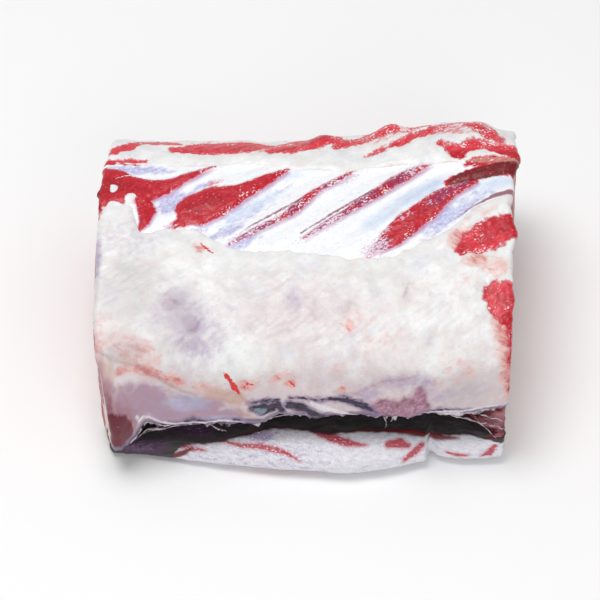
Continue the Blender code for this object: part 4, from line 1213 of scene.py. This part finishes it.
fringe_x = np.arange(-143, 148, FRINGE_STEP)
drop = 1.3 + 2.6 * lumps(fringe_x, 0 * fringe_x, 11, 51.0)
drop += 2.0 * lumps(fringe_x, 0 * fringe_x, 3.1, 53.0)
for tatter_x, half_width, length in TATTERS:
    drop += length * np.exp(-(((fringe_x - tatter_x) / half_width) ** 2))
drop *= smoothstep(-143, -132, fringe_x) * (1 - 0.7 * smoothstep(138, 147, fringe_x))
FRINGE_ROWS = 6
SHORTEST_TAG = 0.9                      # mm; where the fringe is shorter it is left out
fringe_points = np.zeros((len(fringe_x), FRINGE_ROWS, 3))
for a, x in enumerate(fringe_x):
    root = outer_points[column_at(x), root_row]
    for r in range(FRINGE_ROWS):
        t = r / (FRINGE_ROWS - 1)
        curl = 1.1 * noise.noise(Vector((x / 5, t * 1.5, 57.0)))
        fringe_points[a, r] = (
            x + 1.2 * t * noise.noise(Vector((x / 4, t, 59.0))), root[1] - 0.5 * t + curl * t,
            root[2] + 1.2 * (1 - t) - max(drop[a], 0.0) * t)
number = np.arange(len(fringe_x) * FRINGE_ROWS).reshape(len(fringe_x), FRINGE_ROWS)
fringe_faces = [
    (number[a, r + 1], number[a + 1, r + 1], number[a + 1, r], number[a, r])
    for a in range(len(fringe_x) - 1) for r in range(FRINGE_ROWS - 1)
    if min(drop[a], drop[a + 1]) > SHORTEST_TAG]
strand_points, strand_faces = [], []
for number_of_strand, (path, radius) in enumerate(STRANDS):
    ways = np.array(path, float)
    steps, stops = np.linspace(0, 1, 40), np.linspace(0, 1, len(ways))
    for k, step in enumerate(steps):
        x, down, back_off = (np.interp(step, stops, ways[:, c]) for c in range(3))
        upper, lower = outer_points[column_at(x), root_row], outer_points[column_at(x), flap_row]
        sway = [1.3 * noise.noise(Vector((step * 6, c, 7.3 * number_of_strand))) for c in range(3)]
        center = upper * (1 - down) + lower * down
        center += np.array([sway[0], back_off + sway[1], sway[2]])
        center[0] = x + sway[0]
        taper = 0.35 + 0.65 * math.sin(math.pi * min(max(step, 0.06), 0.94))
        girth = radius * taper * (1 + 0.5 * sway[0])
        for side in range(6):
            turn = math.tau * side / 6
            spoke = np.array([0.3 * math.sin(turn), math.cos(turn), math.sin(turn)])
            strand_points.append(center + girth * spoke)
            if k:
                here = len(strand_points) - 1
                after = here + (1 if side < 5 else -5)
                strand_faces.append((here, after, after - 6, here - 6))
print("strand points:", len(strand_points))

# %% Pieces of torn tissue
# Torn connective tissue: thin, wet and half clear, so white where light catches it and dark where
# the cleft shows through.
fringe_material = tissue("torn_connective_tissue", (
    dict(tones=("#ded5da", "#b5a5b0"), mottle=(1.6, 1.0, 0.2), rough=0.34),
    dict(tones=("#b78f9c", "#8d6a7c"), mottle=(1.5, 1.0, 0.2), rough=0.3,
         where=None, start=0.1, end=0.4, torn=(3.0, 1.0, 1.8), most=0.8),
    dict(tones=("#3d3340", "#5a4c5c"), mottle=(1.5, 1.0, 0.2), rough=0.3,
         where=None, start=-0.1, end=0.2, torn=(7.0, 1.0, 2.0), most=0.9),
), bumps=((1.2, 1.0, 0.2),), coat=0.4, soft=0.2)
strand_points = np.array(strand_points)
strands = dress(
    mesh_of("membrane_strands", strand_points, strand_faces, {"place": strand_points}),
    fringe_material)
flat_fringe = fringe_points.reshape(-1, 3)
fringe = dress(
    mesh_of("lip_fringe", flat_fringe, fringe_faces, {"place": flat_fringe}), fringe_material)
thick = fringe.modifiers.new("tissue thickness", "SOLIDIFY")
thick.thickness = 0.5 * MM
thick.offset = 0

# %% [markdown]
# ## Floor, light and camera
#
# The roll lies on a plain pale table. One big soft light hangs high above it, a weaker one stands
# in front, and a white room fills the shadows, so the cream of the fat stays clean. The camera
# looks down at fifty degrees through a long lens, so the ends stay parallel.

# %% Floor
FLOOR_SIZE = 6.0                        # metres
floor_mesh = bpy.data.meshes.new("table")
half = FLOOR_SIZE / 2
floor_mesh.from_pydata([(-half, -half, 0), (half, -half, 0), (half, half, 0), (-half, half, 0)],
                       [], [(0, 1, 2, 3)])
floor = bpy.data.objects.new("table", floor_mesh)
floor.location.z = -0.2 * MM
bpy.context.scene.collection.objects.link(floor)
floor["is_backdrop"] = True
# Matt laminate, pressed smooth: an even white that mirrors nothing.
white_table = bpy.data.materials.new("matt_white_laminate")
white_table.use_nodes = True
table_shader = white_table.node_tree.nodes["Principled BSDF"]
table_shader.inputs["Base Color"].default_value = linear("#f7f7f7")
table_shader.inputs["Roughness"].default_value = 0.9
floor_mesh.materials.append(white_table)
print("table:", FLOOR_SIZE, "m wide")

# %% Light
scene = bpy.context.scene
scene.view_settings.view_transform = "Standard"
scene.view_settings.look = "None"
ROOM_STRENGTH = 0.45
world = bpy.data.worlds.new("white room")
world.use_nodes = True
world.node_tree.nodes["Background"].inputs["Color"].default_value = linear("#ffffff")
world.node_tree.nodes["Background"].inputs["Strength"].default_value = ROOM_STRENGTH
scene.world = world
# name, place in metres, size in metres, watts
LAMPS = (("key", (-0.35, 0.1, 1.9), 1.2, 21.0), ("front", (0.4, -1.7, 1.1), 1.4, 9.0))
middle = Vector(((cad_low[0] + cad_high[0]) / 2, (cad_low[1] + cad_high[1]) / 2, 0.06))
for name, place, size, watts in LAMPS:
    lamp = bpy.data.lights.new(name, "AREA")
    lamp.shape = "DISK"
    lamp.size = size
    lamp.energy = watts
    lamp_object = bpy.data.objects.new(name, lamp)
    lamp_object.location = place
    lamp_object.rotation_euler = (middle - Vector(place)).to_track_quat("-Z", "Y").to_euler()
    scene.collection.objects.link(lamp_object)
    print(f"{name}: {watts} W, {(Vector(place) - middle).length:.2f} m away")

# %% Camera
ELEVATION = math.radians(50.0)
DISTANCE = 1.7                          # metres from the camera to the roll
target = Vector(placed((-4.6, 0.0, 53.5)))
camera_data = bpy.data.cameras.new("catalogue camera")
camera_data.lens = 131.9
camera_data.sensor_width = 36.0
camera = bpy.data.objects.new("catalogue camera", camera_data)
camera.location = target + DISTANCE * Vector((0, -math.cos(ELEVATION), math.sin(ELEVATION)))
camera.rotation_euler = (math.pi / 2 - ELEVATION, 0, 0)
scene.collection.objects.link(camera)
scene.camera = camera
print("camera at", [round(c, 3) for c in camera.location])

# %% Sizes against the CAD solid
look_low, look_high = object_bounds()
for axis, a, b, c, d in zip("XYZ", cad_low, look_low, cad_high, look_high):
    print(f"{axis}: stands out {1000 * (a - b):.1f} mm low, {1000 * (d - c):.1f} mm high")
